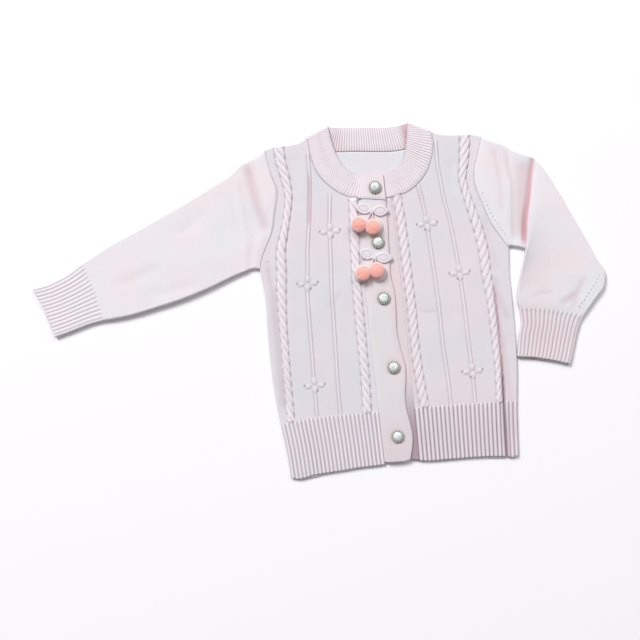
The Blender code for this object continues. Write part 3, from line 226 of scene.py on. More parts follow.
# The neckband, a strip round the neck: its seam edge, its free edge, the height of its underside,
# how far its ribs rise, and by how many ribs they lean on their way across
Strip = namedtuple("Strip", "seam_x seam_y free_x free_y level rise lean")
NECK_RIGHT = (
    Strip(9.4, 66.3, 9.2, 95.2, NECK_TOP_LEVEL, 0.16, 0.0),
    Strip(-5.0, 68.8, -4.5, 98.2, NECK_TOP_LEVEL, 0.16, 0.0),
    Strip(-16.0, 70.4, -12.5, 97.2, NECK_TOP_LEVEL, 0.22, 0.5),
    Strip(-27.0, 72.8, -20.5, 98.4, NECK_LEVEL, NECK_RISE, 1.5),
    Strip(-36.0, 76.8, -26.5, 101.6, NECK_LEVEL, NECK_RISE, 2.5),
    Strip(-45.0, 82.6, -31.5, 106.4, NECK_LEVEL, NECK_RISE, 3.5),
    Strip(-53.0, 90.0, -35.5, 112.0, NECK_LEVEL, NECK_RISE, 4.3),
    Strip(-60.0, 98.6, -39.0, 119.0, NECK_LEVEL, NECK_RISE, 4.5),
    Strip(-65.5, 108.0, -41.3, 125.5, NECK_LEVEL, NECK_RISE, 4.5),
    Strip(-68.5, 118.5, -43.2, 133.0, NECK_LEVEL, NECK_RISE, 4.5),
    Strip(-70.3, 131.0, -45.0, 142.5, NECK_LEVEL, NECK_RISE, 4.6),
    Strip(-71.1, 144.6, -46.1, 154.6, NECK_LEVEL, 0.4, 4.6),
)
NECK_BACK = (
    Strip(-71.1, 144.6, -46.1, 154.6, 0.0, 0.0, 0.0),
    Strip(-67.5, 136.6, -44.6, 154.3, 0.0, 0.0, 0.0),
    Strip(-59.0, 130.8, -42.4, 153.9, 0.0, 0.2, 0.0),
    Strip(-50.0, 127.8, -38.5, 153.2, 0.0, 0.4, 0.0),
    Strip(-41.0, 125.9, -34.0, 152.6, 0.0, 0.4, 0.0),
    Strip(-20.0, 124.0, -18.0, 150.6, 0.0, 0.4, 0.0),
    Strip(0.0, 121.6, 0.0, 149.2, 0.0, 0.4, 0.0),
    Strip(20.0, 119.8, 17.0, 147.5, 0.0, 0.4, 0.0),
    Strip(38.0, 120.6, 29.5, 147.6, 0.0, 0.4, 0.0),
    Strip(48.5, 123.6, 34.5, 148.2, 0.0, 0.4, 0.0),
    Strip(57.0, 126.6, 38.0, 148.8, 0.0, 0.2, 0.0),
    Strip(64.6, 130.6, 41.0, 149.2, 0.0, 0.0, 0.0),
    Strip(68.3, 136.4, 42.4, 149.4, 0.0, 0.0, 0.0),
)
NECK_LEFT = (
    Strip(68.3, 136.4, 42.4, 149.4, NECK_LEVEL, 0.4, -3.8),
    Strip(68.6, 126.0, 41.2, 140.0, NECK_LEVEL, NECK_RISE, -2.6),
    Strip(66.6, 113.6, 39.0, 128.0, NECK_LEVEL, NECK_RISE, -1.0),
    Strip(62.3, 101.6, 36.4, 117.0, NECK_LEVEL, NECK_RISE, 0.4),
    Strip(56.8, 92.0, 33.2, 109.0, NECK_LEVEL, NECK_RISE, 1.6),
    Strip(50.0, 84.4, 28.8, 103.5, NECK_LEVEL, NECK_RISE, 2.2),
    Strip(43.5, 78.8, 24.5, 100.2, NECK_LEVEL, NECK_RISE, 2.0),
    Strip(36.0, 74.2, 20.0, 97.7, NECK_LEVEL, NECK_RISE, 1.6),
    Strip(28.0, 71.0, 15.5, 95.9, NECK_LEVEL, NECK_RISE, 1.2),
    Strip(19.0, 68.8, 10.0, 94.3, 2.6, 0.3, 0.8),
    Strip(7.0, 67.0, 3.0, 93.2, 2.4, 0.1, 0.4),
    Strip(-13.0, 66.4, -12.5, 92.6, 2.4, 0.0, 0.0),
)

# Sleeves: the ends of each ring, how much of the armhole's curve it keeps, how far it bows back
# towards the armhole, and its height at the outer and the inner edge
Ring = namedtuple("Ring", "outer_x outer_y inner_x inner_y bow belly outer_h inner_h")
SLEEVE_RIGHT = (
    Ring(-120.5, 136.5, -140.6, 2.0, 1.00, 0.0, 4.6, 4.6),
    Ring(-128.5, 130.6, -144.8, 3.8, 0.72, 0.0, 5.4, 5.2),
    Ring(-139.0, 127.0, -150.0, 3.4, 0.42, 0.0, 5.0, 5.0),
    Ring(-149.5, 122.6, -157.5, 1.2, 0.20, 0.0, 6.0, 5.8),
    Ring(-160.5, 113.6, -167.0, -1.6, 0.05, 0.0, 5.6, 5.8),
    Ring(-180.0, 103.4, -184.0, -7.6, 0.0, 0.0, 6.3, 6.2),
    Ring(-205.0, 91.0, -207.0, -15.6, 0.0, 0.0, 6.6, 6.6),
    Ring(-235.0, 77.9, -234.0, -23.2, 0.0, 0.0, 6.9, 6.9),
    Ring(-265.0, 64.4, -261.0, -28.8, 0.0, 0.4, 6.9, 6.9),
    Ring(-300.0, 50.0, -290.0, -34.3, 0.0, 1.0, 6.8, 6.8),
    Ring(-325.0, 37.6, -311.0, -36.4, 0.0, 1.5, 6.5, 6.5),
    Ring(-339.6, 29.9, -322.6, -37.0, 0.0, 1.9, 5.6, 5.6),
    Ring(-343.0, 27.6, -325.8, -37.4, 0.0, 1.9, 5.2, 5.2),
    Ring(-354.0, 21.0, -336.0, -39.0, 0.0, 1.9, 5.2, 5.2),
    Ring(-368.0, 14.8, -348.5, -42.2, 0.0, 1.9, 5.2, 5.2),
    Ring(-383.0, 9.9, -363.0, -46.2, 0.0, 1.9, 5.2, 5.2),
    Ring(-398.0, 7.6, -378.2, -50.0, 0.0, 1.7, 5.2, 5.2),
)
SLEEVE_LEFT = (
    Ring(123.4, 126.8, 142.2, -1.5, 1.00, 0.0, 4.6, 4.6),
    Ring(131.0, 122.0, 145.6, -0.8, 0.72, 0.0, 5.4, 5.4),
    Ring(140.5, 117.8, 148.6, -1.7, 0.42, 0.0, 5.2, 5.2),
    Ring(149.4, 113.8, 151.4, -2.5, 0.24, 0.0, 4.9, 4.9),
    Ring(158.0, 106.8, 153.8, -3.2, 0.12, 0.4, 5.8, 5.8),
    Ring(170.0, 101.2, 156.4, -4.0, 0.04, 1.2, 5.6, 5.6),
    Ring(180.6, 95.6, 158.2, -4.8, 0.0, 2.0, 4.6, 4.6),
    Ring(182.6, 93.6, 159.4, -5.4, 0.0, 2.0, 6.4, 8.6),
    Ring(186.4, 88.6, 160.2, -8.0, 0.0, 1.8, 7.4, 11.8),
    Ring(195.0, 74.0, 158.2, -14.0, 0.0, 1.2, 8.0, 12.6),
    Ring(208.0, 46.8, 154.8, -24.0, 0.0, 0.6, 8.0, 11.4),
    Ring(220.0, 20.6, 151.4, -35.0, 0.0, 0.0, 7.6, 9.6),
    Ring(231.0, -4.2, 148.5, -45.0, 0.0, 0.0, 7.2, 8.2),
    Ring(240.5, -26.0, 146.2, -54.0, 0.0, 0.0, 6.9, 7.0),
    Ring(247.8, -41.5, 145.5, -60.5, 0.0, 0.0, 6.6, 6.5),
    Ring(245.8, -54.5, 145.6, -65.0, 0.0, 1.5, 6.4, 6.2),
    Ring(233.0, -71.0, 146.2, -69.0, 0.0, 2.5, 6.2, 6.0),
    Ring(218.0, -88.6, 146.8, -72.4, 0.0, 2.8, 5.6, 5.6),
    Ring(214.6, -93.4, 147.2, -76.4, 0.0, 2.8, 5.2, 5.2),
    Ring(209.2, -106.0, 147.4, -87.0, 0.0, 2.6, 5.2, 5.2),
    Ring(204.8, -119.6, 144.4, -98.6, 0.0, 2.4, 5.2, 5.2),
    Ring(200.6, -132.8, 141.6, -112.0, 0.0, 2.2, 5.2, 5.2),
    Ring(197.6, -140.4, 138.9, -125.8, 0.0, 2.0, 5.2, 5.2),
)

# Creases of the laid cloth: where each runs, how deep (+) or high (-) it is, how wide, how much
# painted pink shade gathers in it, and how much painted shade greys it. A crease of no depth is
# only painted shade.
Crease = namedtuple("Crease", "points depth width pink grey", defaults=(0.0,))
RIGHT_FRONT_CREASES = (
    Crease(((-73.3, 108), (-75.0, 84), (-77.6, 62), (-80.5, 40)), 0.7, 1.5, 0.7),
    Crease(((-93.0, 132), (-90.0, 95), (-92.0, 60)), 0.5, 6.0, 0.0),
    Crease(((-131.0, 12), (-130.0, -10), (-126.5, -34)), 0.4, 3.0, 0.2, 0.1),
    Crease(((-127.0, -20), (-128.5, -95), (-128.0, -165)), 0.6, 4.6, 0.0, 0.34),
    Crease(((-134.0, 9.5), (-126.8, 8.8)), 0.5, 0.8, 0.5),
    Crease(((-48.0, -28), (-60.0, -44), (-76.0, -52)), 0.3, 4.0, 0.08),
)
LEFT_FRONT_CREASES = (
    Crease(((121.6, -40), (121.4, -110), (120.4, -148)), 1.4, 1.5, 0.3, 0.55),
    Crease(((121.6, -40), (121.4, -110), (119.4, -175)), 0.0, 3.4, 0.3),
    Crease(((120.8, -136), (119.0, -165), (114.7, -255)), 1.4, 1.9, 0.1, 1.1),
    Crease(((121.0, -118), (119.0, -165), (114.7, -255)), 0.0, 1.8, 0.0, 0.55),
    Crease(((122.0, -30), (127.0, -62), (136.0, -92)), 0.8, 3.6, 0.12, 0.1),
    Crease(((126.0, -100), (128.0, -150), (127.0, -225)), 0.6, 3.2, 0.12),
    Crease(((17.6, 86), (19.0, 10), (20.4, -60), (21.0, -170)), 0.0, 3.6, 0.14),
    Crease(((118.0, 40), (122.0, -4), (128.0, -34)), 0.5, 4.5, 0.12),
    Crease(((30.0, -62), (44.0, -66), (58.0, -64)), 0.3, 2.6, 0.12),
    Crease(((90.0, 108), (86.0, 84), (88.0, 60)), 0.5, 5.0, 0.0),
    # The hem here lies furthest from the light, and is greyer
    Crease(((5.0, -206), (150.0, -208)), 0.0, 26.0, 0.05, 0.14),
)
RIGHT_SLEEVE_CREASES = (
    Crease(((-135.4, 18.6), (-131.0, 26.2)), 0.5, 0.8, 0.6),
    Crease(((-128.4, 30.2), (-125.8, 34.6)), 0.5, 0.8, 0.5),
    Crease(((-142, 124), (-138, 92), (-134, 70), (-128, 38)), 1.2, 5.2, 0.26, 0.14),
    Crease(((-152, 108), (-150, 70), (-148, 34)), 0.5, 3.6, 0.1),
    Crease(((-166, 96), (-160, 60), (-160, 26)), 0.35, 4.5, 0.04),
    Crease(((-190, 78), (-214, 58), (-236, 50)), 0.4, 7.0, 0.0),
    Crease(((-250, 20), (-282, 6), (-306, 4)), 0.45, 7.0, 0.05),
    Crease(((-206, -4), (-240, -12), (-270, -14)), 0.35, 6.0, 0.0),
)
LEFT_SLEEVE_CREASES = (
    # Painted shade over the cuff, which lies furthest from the light
    Crease(((222.0, -108), (128.0, -96)), 0.0, 26.0, 0.05, 0.16),
    Crease(((182.0, 106), (174.5, 78), (168.6, 50), (162.6, 28), (158.2, -6)), 0.6, 2.8, 0.75),
    Crease(((183.6, 106), (176.2, 78), (170.3, 50), (164.2, 28), (159.6, -6)), 0.0, 1.2, 0.1, 0.3),
    Crease(((170.0, 100), (164.0, 72), (160.0, 45), (155.0, 4)), 0.0, 8.5, 0.34),
    Crease(((151.5, 111), (150.8, 87), (153, 65), (151.2, 40), (147.8, -1)), 0.9, 2.4, 0.0, 0.26),
    Crease(((136, 116), (140, 76), (139, 30)), 0.6, 3.2, 0.15),
    Crease(((216, -58), (203, -68), (190, -74)), 0.6, 4.0, 0.3),
    Crease(((228, -40), (214, -62), (206, -84)), 0.5, 4.0, 0.2),
    Crease(((176, 12), (186, -16), (184, -44)), 0.4, 8.0, 0.0),
    Crease(((160, -62), (176, -58), (188, -62)), 0.3, 4.0, 0.1),
)

# Buttons: centres, and the height of the face that each lies on
Button = namedtuple("Button", "x y face")
NECK_FACE = NECK_TOP_LEVEL + WALL + NECK_RISE
BUTTONS = (
    Button(-1.5, 81.0, NECK_FACE),
    Button(-4.5, 19.0, BAND_FACE),
    Button(-4.5, -44.5, BAND_FACE),
    Button(-1.5, -123.0, BAND_FACE),
    Button(-5.2, -201.0, BAND_FACE),
)

# Cherry sprigs: the knot, the leaf tips, the two cherries and the discs that these lie on
Sprig = namedtuple("Sprig", "name knot leaf_right leaf_left cherry_right cherry_left "
                            "disc_right disc_left disc_radius")
SPRIGS = (
    Sprig("upper", Point(-7.7, 54.6), Point(-25.3, 61.4), Point(11.4, 52.6),
          Point(-24.6, 41.0), Point(-9.0, 36.4), Point(-24.8, 40.2), Point(-5.3, 36.0), 8.7),
    Sprig("lower", Point(-10.4, 2.4), Point(-26.4, 11.0), Point(10.2, -1.0),
          Point(-25.2, -13.8), Point(-9.4, -12.4), Point(-26.2, -15.0), Point(-6.9, -17.0), 9.4),
)

# A kind of sewn stitch; a row of fashioning marks; a light, in metres
Stitch = namedtuple("Stitch", "pitch thick long")
Mark = namedtuple("Mark", "name points level tilt")
Lamp = namedtuple("Lamp", "name at size power")


class Side(Enum):
    """The wearer's sides, with the sign of the sleeve's direction from its armhole."""

    RIGHT = 1.0
    LEFT = -1.0


# ---------------------------------------------------------------------------------------------
# Lines and grids


def follow(stations: list, values: list, at: np.ndarray) -> np.ndarray:
    """Reads a smooth curve through a table's values.

    Args:
        stations: Where each value stands, rising or falling.
        values: The values.
        at: The places to read.

    Returns:
        The value at each place.
    """
    order = 1 if stations[0] < stations[-1] else -1
    places = np.asarray(stations, float)[::order]
    heights = np.asarray(values, float)[::order]
    slopes = np.gradient(heights, places)
    at = np.asarray(at, float)
    low = np.clip(np.searchsorted(places, at) - 1, 0, len(places) - 2)
    span = places[low + 1] - places[low]
    t = np.clip((at - places[low]) / span, 0.0, 1.0)
    start = (1 + 2 * t) * (1 - t) ** 2 * heights[low] + t * (1 - t) ** 2 * span * slopes[low]
    end = t * t * (3 - 2 * t) * heights[low + 1] + t * t * (t - 1) * span * slopes[low + 1]
    return start + end


def steady(stations: np.ndarray, values: np.ndarray, at: np.ndarray) -> np.ndarray:
    """Reads a smooth curve that never swings past the values of its table.

    Args:
        stations: Where each value stands, rising.
        values: The values.
        at: The places to read.

    Returns:
        The value at each place.
    """
    steps = np.diff(values) / np.diff(stations)
    slopes = np.zeros(len(values))
    same_way = steps[:-1] * steps[1:] > 0
    mean = 2 * steps[:-1] * steps[1:] / np.where(same_way, steps[:-1] + steps[1:], 1.0)
    slopes[1:-1] = np.where(same_way, mean, 0.0)
    slopes[0] = steps[0]
    slopes[-1] = steps[-1]
    low = np.clip(np.searchsorted(stations, at) - 1, 0, len(stations) - 2)
    span = stations[low + 1] - stations[low]
    t = np.clip((at - stations[low]) / span, 0.0, 1.0)
    start = (1 + 2 * t) * (1 - t) ** 2 * values[low] + t * (1 - t) ** 2 * span * slopes[low]
    end = t * t * (3 - 2 * t) * values[low + 1] + t * t * (t - 1) * span * slopes[low + 1]
    return start + end


def column(rows: tuple, name: str, at: np.ndarray) -> np.ndarray:
    """Reads one named column of a table that has a height in each row.

    Args:
        rows: The table.
        name: The column.
        at: The heights to read it at.

    Returns:
        The column's value at each height.
    """
    return follow([row.y for row in rows], [getattr(row, name) for row in rows], at)


def resample(points: tuple, count: int) -> np.ndarray:
    """Spaces points evenly along a smooth curve.

    Args:
        points: The curve's own points.
        count: How many to return.

    Returns:
        An array with a point in each row.
    """
    table = np.asarray(points, float)
    steps = np.linalg.norm(np.diff(table[:, :2], axis=0), axis=1)
    length = np.concatenate([[0.0], np.cumsum(steps)])
    stations = np.linspace(0.0, length[-1], count)
    return np.stack([follow(length, table[:, k], stations) for k in range(table.shape[1])], 1)


def smooth(value: np.ndarray | float) -> np.ndarray:
    """Eases a share from 0 to 1, with no step at either end."""
    t = np.clip(value, 0.0, 1.0)
    return t * t * (3 - 2 * t)


def beside(line: np.ndarray, x: np.ndarray, y: np.ndarray) -> tuple[np.ndarray, np.ndarray]:
    """Measures how far points are from a line, and how near its ends.

    Args:
        line: The line's corners.
        x: The points' first coordinates.
        y: Their second coordinates.

    Returns:
        The distance of each point from the line, and the way left to the line's nearer end, as
        a share of the stretch over which a crease fades.
    """
    nearest = np.full(x.shape, np.inf)
    run = np.zeros(x.shape)
    passed = 0.0
    for (ax, ay), (bx, by) in zip(line, line[1:]):
        long = math.hypot(bx - ax, by - ay)
        share = np.clip(((x - ax) * (bx - ax) + (y - ay) * (by - ay)) / long ** 2, 0.0, 1.0)
        there = np.hypot(x - ax - share * (bx - ax), y - ay - share * (by - ay))
        run = np.where(there < nearest, passed + share * long, run)
        nearest = np.minimum(nearest, there)
        passed += long
    return nearest, np.minimum(run, passed - run) / min(CREASE_FADE, 0.4 * passed)


def creased(creases: tuple, x: np.ndarray,
            y: np.ndarray) -> tuple[np.ndarray, np.ndarray, np.ndarray]:
    """Works out what the creases do at points of a piece.

    Args:
        creases: The piece's creases.
        x: The points' first coordinates.
        y: Their second coordinates.

    Returns:
        How far the cloth moves up, how much painted pink shade gathers, and how much painted
        shade greys it, at each point.
    """
    rise = np.zeros(x.shape)
    pink = np.zeros(x.shape)
    grey = np.zeros(x.shape)
    for crease in creases:
        off, from_end = beside(resample(crease.points, 12), x, y)
        near = np.exp(-((off / crease.width) ** 2)) * smooth(from_end)
        rise -= crease.depth * near
        pink += crease.pink * near
        grey += crease.grey * near
    return rise, np.clip(pink, 0.0, 1.0), grey


def shares(length: float, step: float, edge: tuple = (0.35, 0.8, 1.4, 2.1)) -> np.ndarray:
    """Spaces the lines of a grid evenly, with a few more beside each end for a rounded edge.

    Args:
        length: The length to divide, in millimetres.
        step: The largest step between lines.
        edge: How far in the closer lines lie.

    Returns:
        The lines' places, as shares of the length.
    """
    even = np.linspace(0.0, 1.0, int(math.ceil(length / step)) + 1)
    close = np.asarray(edge) / length
    inner = even[(even > close[-1] * 1.2) & (even < 1 - close[-1] * 1.2)]
    return np.concatenate([[0.0], close, inner, 1 - close[::-1], [1.0]])


@dataclass
class Patch:
    """A four-sided piece of flat cloth, between its bottom, top, left and right lines.

    The bottom and top run from left to right, the sides from bottom to top.
    """

    bottom: np.ndarray
    top: np.ndarray
    left: np.ndarray
    right: np.ndarray

    @staticmethod
    def read(line: np.ndarray, measure: np.ndarray, at: np.ndarray) -> np.ndarray:
        """Reads a line at shares of a measure that rises along it."""
        span = (measure - measure[0]) / (measure[-1] - measure[0])
        return np.stack([np.interp(at, span, line[:, k]) for k in (0, 1)], -1)

    @staticmethod
    def climb(line: np.ndarray) -> np.ndarray:
        """Measures the way up a side: mostly its height, and partly its length."""
        run = np.concatenate([[0.0], np.cumsum(np.linalg.norm(np.diff(line, axis=0), axis=1))])
        return 0.65 * (line[:, 1] - line[0, 1]) / (line[-1, 1] - line[0, 1]) + 0.35 * run / run[-1]

    def grid(self, us: np.ndarray, vs: np.ndarray) -> np.ndarray:
        """Fills the patch with a grid.

        Args:
            us: The columns' places, from 0 at the left to 1 at the right.
            vs: The rows' places, from 0 at the bottom to 1 at the top.

        Returns:
            The points, as rows by columns by two.
        """
        bottom = self.read(self.bottom, self.bottom[:, 0], us)[None]
        top = self.read(self.top, self.top[:, 0], us)[None]
        left = self.read(self.left, self.climb(self.left), vs)[:, None]
        right = self.read(self.right, self.climb(self.right), vs)[:, None]
        u = us[None, :, None]
        v = vs[:, None, None]
        flat = (1 - u) * (1 - v) * bottom[:, :1] + u * (1 - v) * bottom[:, -1:]
        flat = flat + (1 - u) * v * top[:, :1] + u * v * top[:, -1:]
        return (1 - v) * bottom + v * top + (1 - u) * left + u * right - flat


@dataclass
class Cloth:
    """The points, faces and named values of a knitted piece while it is built."""

    verts: list = field(default_factory=list)
    faces: list = field(default_factory=list)
    values: dict = field(default_factory=dict)
    count: int = 0

    def add(self, points: np.ndarray, **values: np.ndarray) -> np.ndarray:
        """Adds points.

        Args:
            points: The points, in any arrangement, with x, y and z last.
            **values: Named values of the points, in the same arrangement.

        Returns:
            The points' numbers, in the same arrangement.
        """
        numbers = np.arange(self.count, self.count + points[..., 0].size)
        self.verts.append(points.reshape(-1, 3))
        for name, value in values.items():
            flat = np.broadcast_to(value, points[..., 0].shape).reshape(-1)
            self.values.setdefault(name, []).append((numbers[0] if numbers.size else 0, flat))
        self.count += numbers.size
        return numbers.reshape(points[..., 0].shape)

    def net(self, numbers: np.ndarray, closed: bool = False) -> None:
        """Joins a grid of numbers with four-sided faces.

        Args:
            numbers: The numbers of the grid's points.
            closed: Whether each row runs round to its start.
        """
        grid = np.concatenate([numbers, numbers[:, :1]], 1) if closed else numbers
        corners = (grid[:-1, :-1], grid[:-1, 1:], grid[1:, 1:], grid[1:, :-1])
        self.faces.append(np.stack([c.reshape(-1) for c in corners], 1))

    def cap(self, loop: np.ndarray) -> None:
        """Closes a loop of numbers with one face."""
        self.faces.append(loop.reshape(1, -1))

    def mesh(self, name: str) -> bpy.types.Mesh:
        """Makes the mesh in metres, with its values as attributes and a map of its stitches.

        Args:
            name: The mesh's name.

        Returns:
            The mesh, closed, with its faces outwards.
        """
        made = bpy.data.meshes.new(name)
        faces = [face.tolist() for block in self.faces for face in block]
        made.from_pydata((np.concatenate(self.verts) * MM).tolist(), [], faces)
        full = {}
        for key, parts in self.values.items():
            full[key] = np.zeros(self.count, np.float32)
            for start, flat in parts:
                full[key][start: start + flat.size] = flat
        wales = full.pop("wale", np.zeros(self.count, np.float32))
        courses = full.pop("course", np.zeros(self.count, np.float32))
        for key, flat in full.items():
            made.attributes.new(key, "FLOAT", "POINT").data.foreach_set("value", flat)
        corner = np.zeros(len(made.loops), np.int32)
        made.loops.foreach_get("vertex_index", corner)
        layer = made.uv_layers.new(name="Stitches")
        layer.uv.foreach_set("vector", np.stack([wales[corner], courses[corner]], 1).reshape(-1))
        work = bmesh.new()
        work.from_mesh(made)
        large = [face for face in work.faces if len(face.verts) > 4]
        bmesh.ops.triangulate(work, faces=large)
        bmesh.ops.recalc_face_normals(work, faces=work.faces)
        for face in work.faces:
            face.smooth = True
        work.to_mesh(made)
        work.free()
        return made


def rim_of(numbers: np.ndarray) -> np.ndarray:
    """Lists the outermost numbers of a grid, once round."""
    return np.concatenate([numbers[0, :-1], numbers[:-1, -1], numbers[-1, :0:-1],
                           numbers[:0:-1, 0]])


def inwards(loop: np.ndarray, distance: float) -> np.ndarray:
    """Moves a closed line of points inwards.

    Args:
        loop: The points, anticlockwise.
        distance: How far.

    Returns:
        The moved points.
    """
    along = np.roll(loop, -1, axis=0) - np.roll(loop, 1, axis=0)
    left = np.stack([-along[:, 1], along[:, 0]], 1)
    return loop + distance * left / np.maximum(np.linalg.norm(left, axis=1, keepdims=True), 1e-9)


# ---------------------------------------------------------------------------------------------
# Nodes and finishes


def colour(code: str) -> tuple[float, float, float, float]:
    """Turns an sRGB hex code into a linear colour.

    Args:
        code: The hex code.

    Returns:
        Red, green, blue and alpha.
    """
    levels = [int(code[k: k + 2], 16) / 255 for k in (1, 3, 5)]
    linear = [v / 12.92 if v <= 0.04045 else ((v + 0.055) / 1.055) ** 2.4 for v in levels]
    return (*linear, 1.0)


def node(tree: bpy.types.NodeTree, kind: str, inputs: dict | None = None,
         **settings: object) -> bpy.types.Node:
    """Adds a node with its settings and links.

    Args:
        tree: The tree that it goes into.
        kind: The node's type.
        inputs: What each input gets, by name or number: a socket to link, or a value.
        **settings: The node's own settings.

    Returns:
        The node.
    """
    made = tree.nodes.new(kind)
    for key, value in settings.items():
        setattr(made, key, value)
    for key, value in (inputs or {}).items():
        given = value.socket if isinstance(value, Term) else value
        if isinstance(given, bpy.types.NodeSocket):
            tree.links.new(given, made.inputs[key])
        else:
            made.inputs[key].default_value = given
    return made


@dataclass(frozen=True)
class Term:
    """A socket to reckon with like a number, in a shader tree or a geometry tree."""

    socket: bpy.types.NodeSocket

    def do(self, operation: str, *others: object) -> "Term":
        """Applies a Math operation to this term and then to other terms or numbers."""
        inputs = dict(enumerate((self, *others)))
        return Term(node(self.socket.id_data, "ShaderNodeMath", inputs,
                         operation=operation).outputs[0])

    def __add__(self, other: object) -> "Term":
        """Adds a term or a number."""
        return self.do("ADD", other)

    def __sub__(self, other: object) -> "Term":
        """Takes a term or a number away."""
        return self.do("SUBTRACT", other)

    def __rsub__(self, whole: float) -> "Term":
        """Takes this term away from a number."""
        return Term(node(self.socket.id_data, "ShaderNodeMath", {0: whole, 1: self},
                         operation="SUBTRACT").outputs[0])

    def __mul__(self, other: object) -> "Term":
        """Multiplies by a term or a number."""
        return self.do("MULTIPLY", other)

    def __truediv__(self, other: object) -> "Term":
        """Divides by a term or a number."""
        return self.do("DIVIDE", other)

    def hump(self, centre: float, width: float) -> "Term":
        """Draws a smooth hump: 1 where the term is at the centre, falling away with the width."""
        off = (self - centre) / width
        return (off * off * -1.0).do("EXPONENT")

    def dome(self) -> "Term":
        """Draws a half circle over a term from -1 to 1, and 0 outside."""
        return (1.0 - self * self).do("MAXIMUM", 0.0).do("SQRT")


def per_metre(size: float) -> float:
    """Turns a pattern's real size in millimetres into a texture's scale."""
    return 1 / (size * MM)


def new_material(name: str, settings: dict) -> tuple[bpy.types.Material, bpy.types.NodeTree,
                                                     bpy.types.Node]:
    """Makes a material.

    Args:
        name: Its name.
        settings: The constant values of its shader's inputs, by name.

    Returns:
        The material, its tree and its Principled shader.
    """
    made = bpy.data.materials.new(name)
    made.use_nodes = True
    shader = made.node_tree.nodes["Principled BSDF"]
    for key, value in settings.items():
        shader.inputs[key].default_value = value
    return made, made.node_tree, shader


def mixed(mix: bpy.types.Node) -> bpy.types.NodeSocket:
    """Returns the colour output of a Mix node."""
    return next(out for out in mix.outputs if out.type == "RGBA" and out.enabled)


class Fabric(Enum):
    """The ways of knitting that the cardigan has."""

    STOCKING = "stocking"
    PURL = "purl"


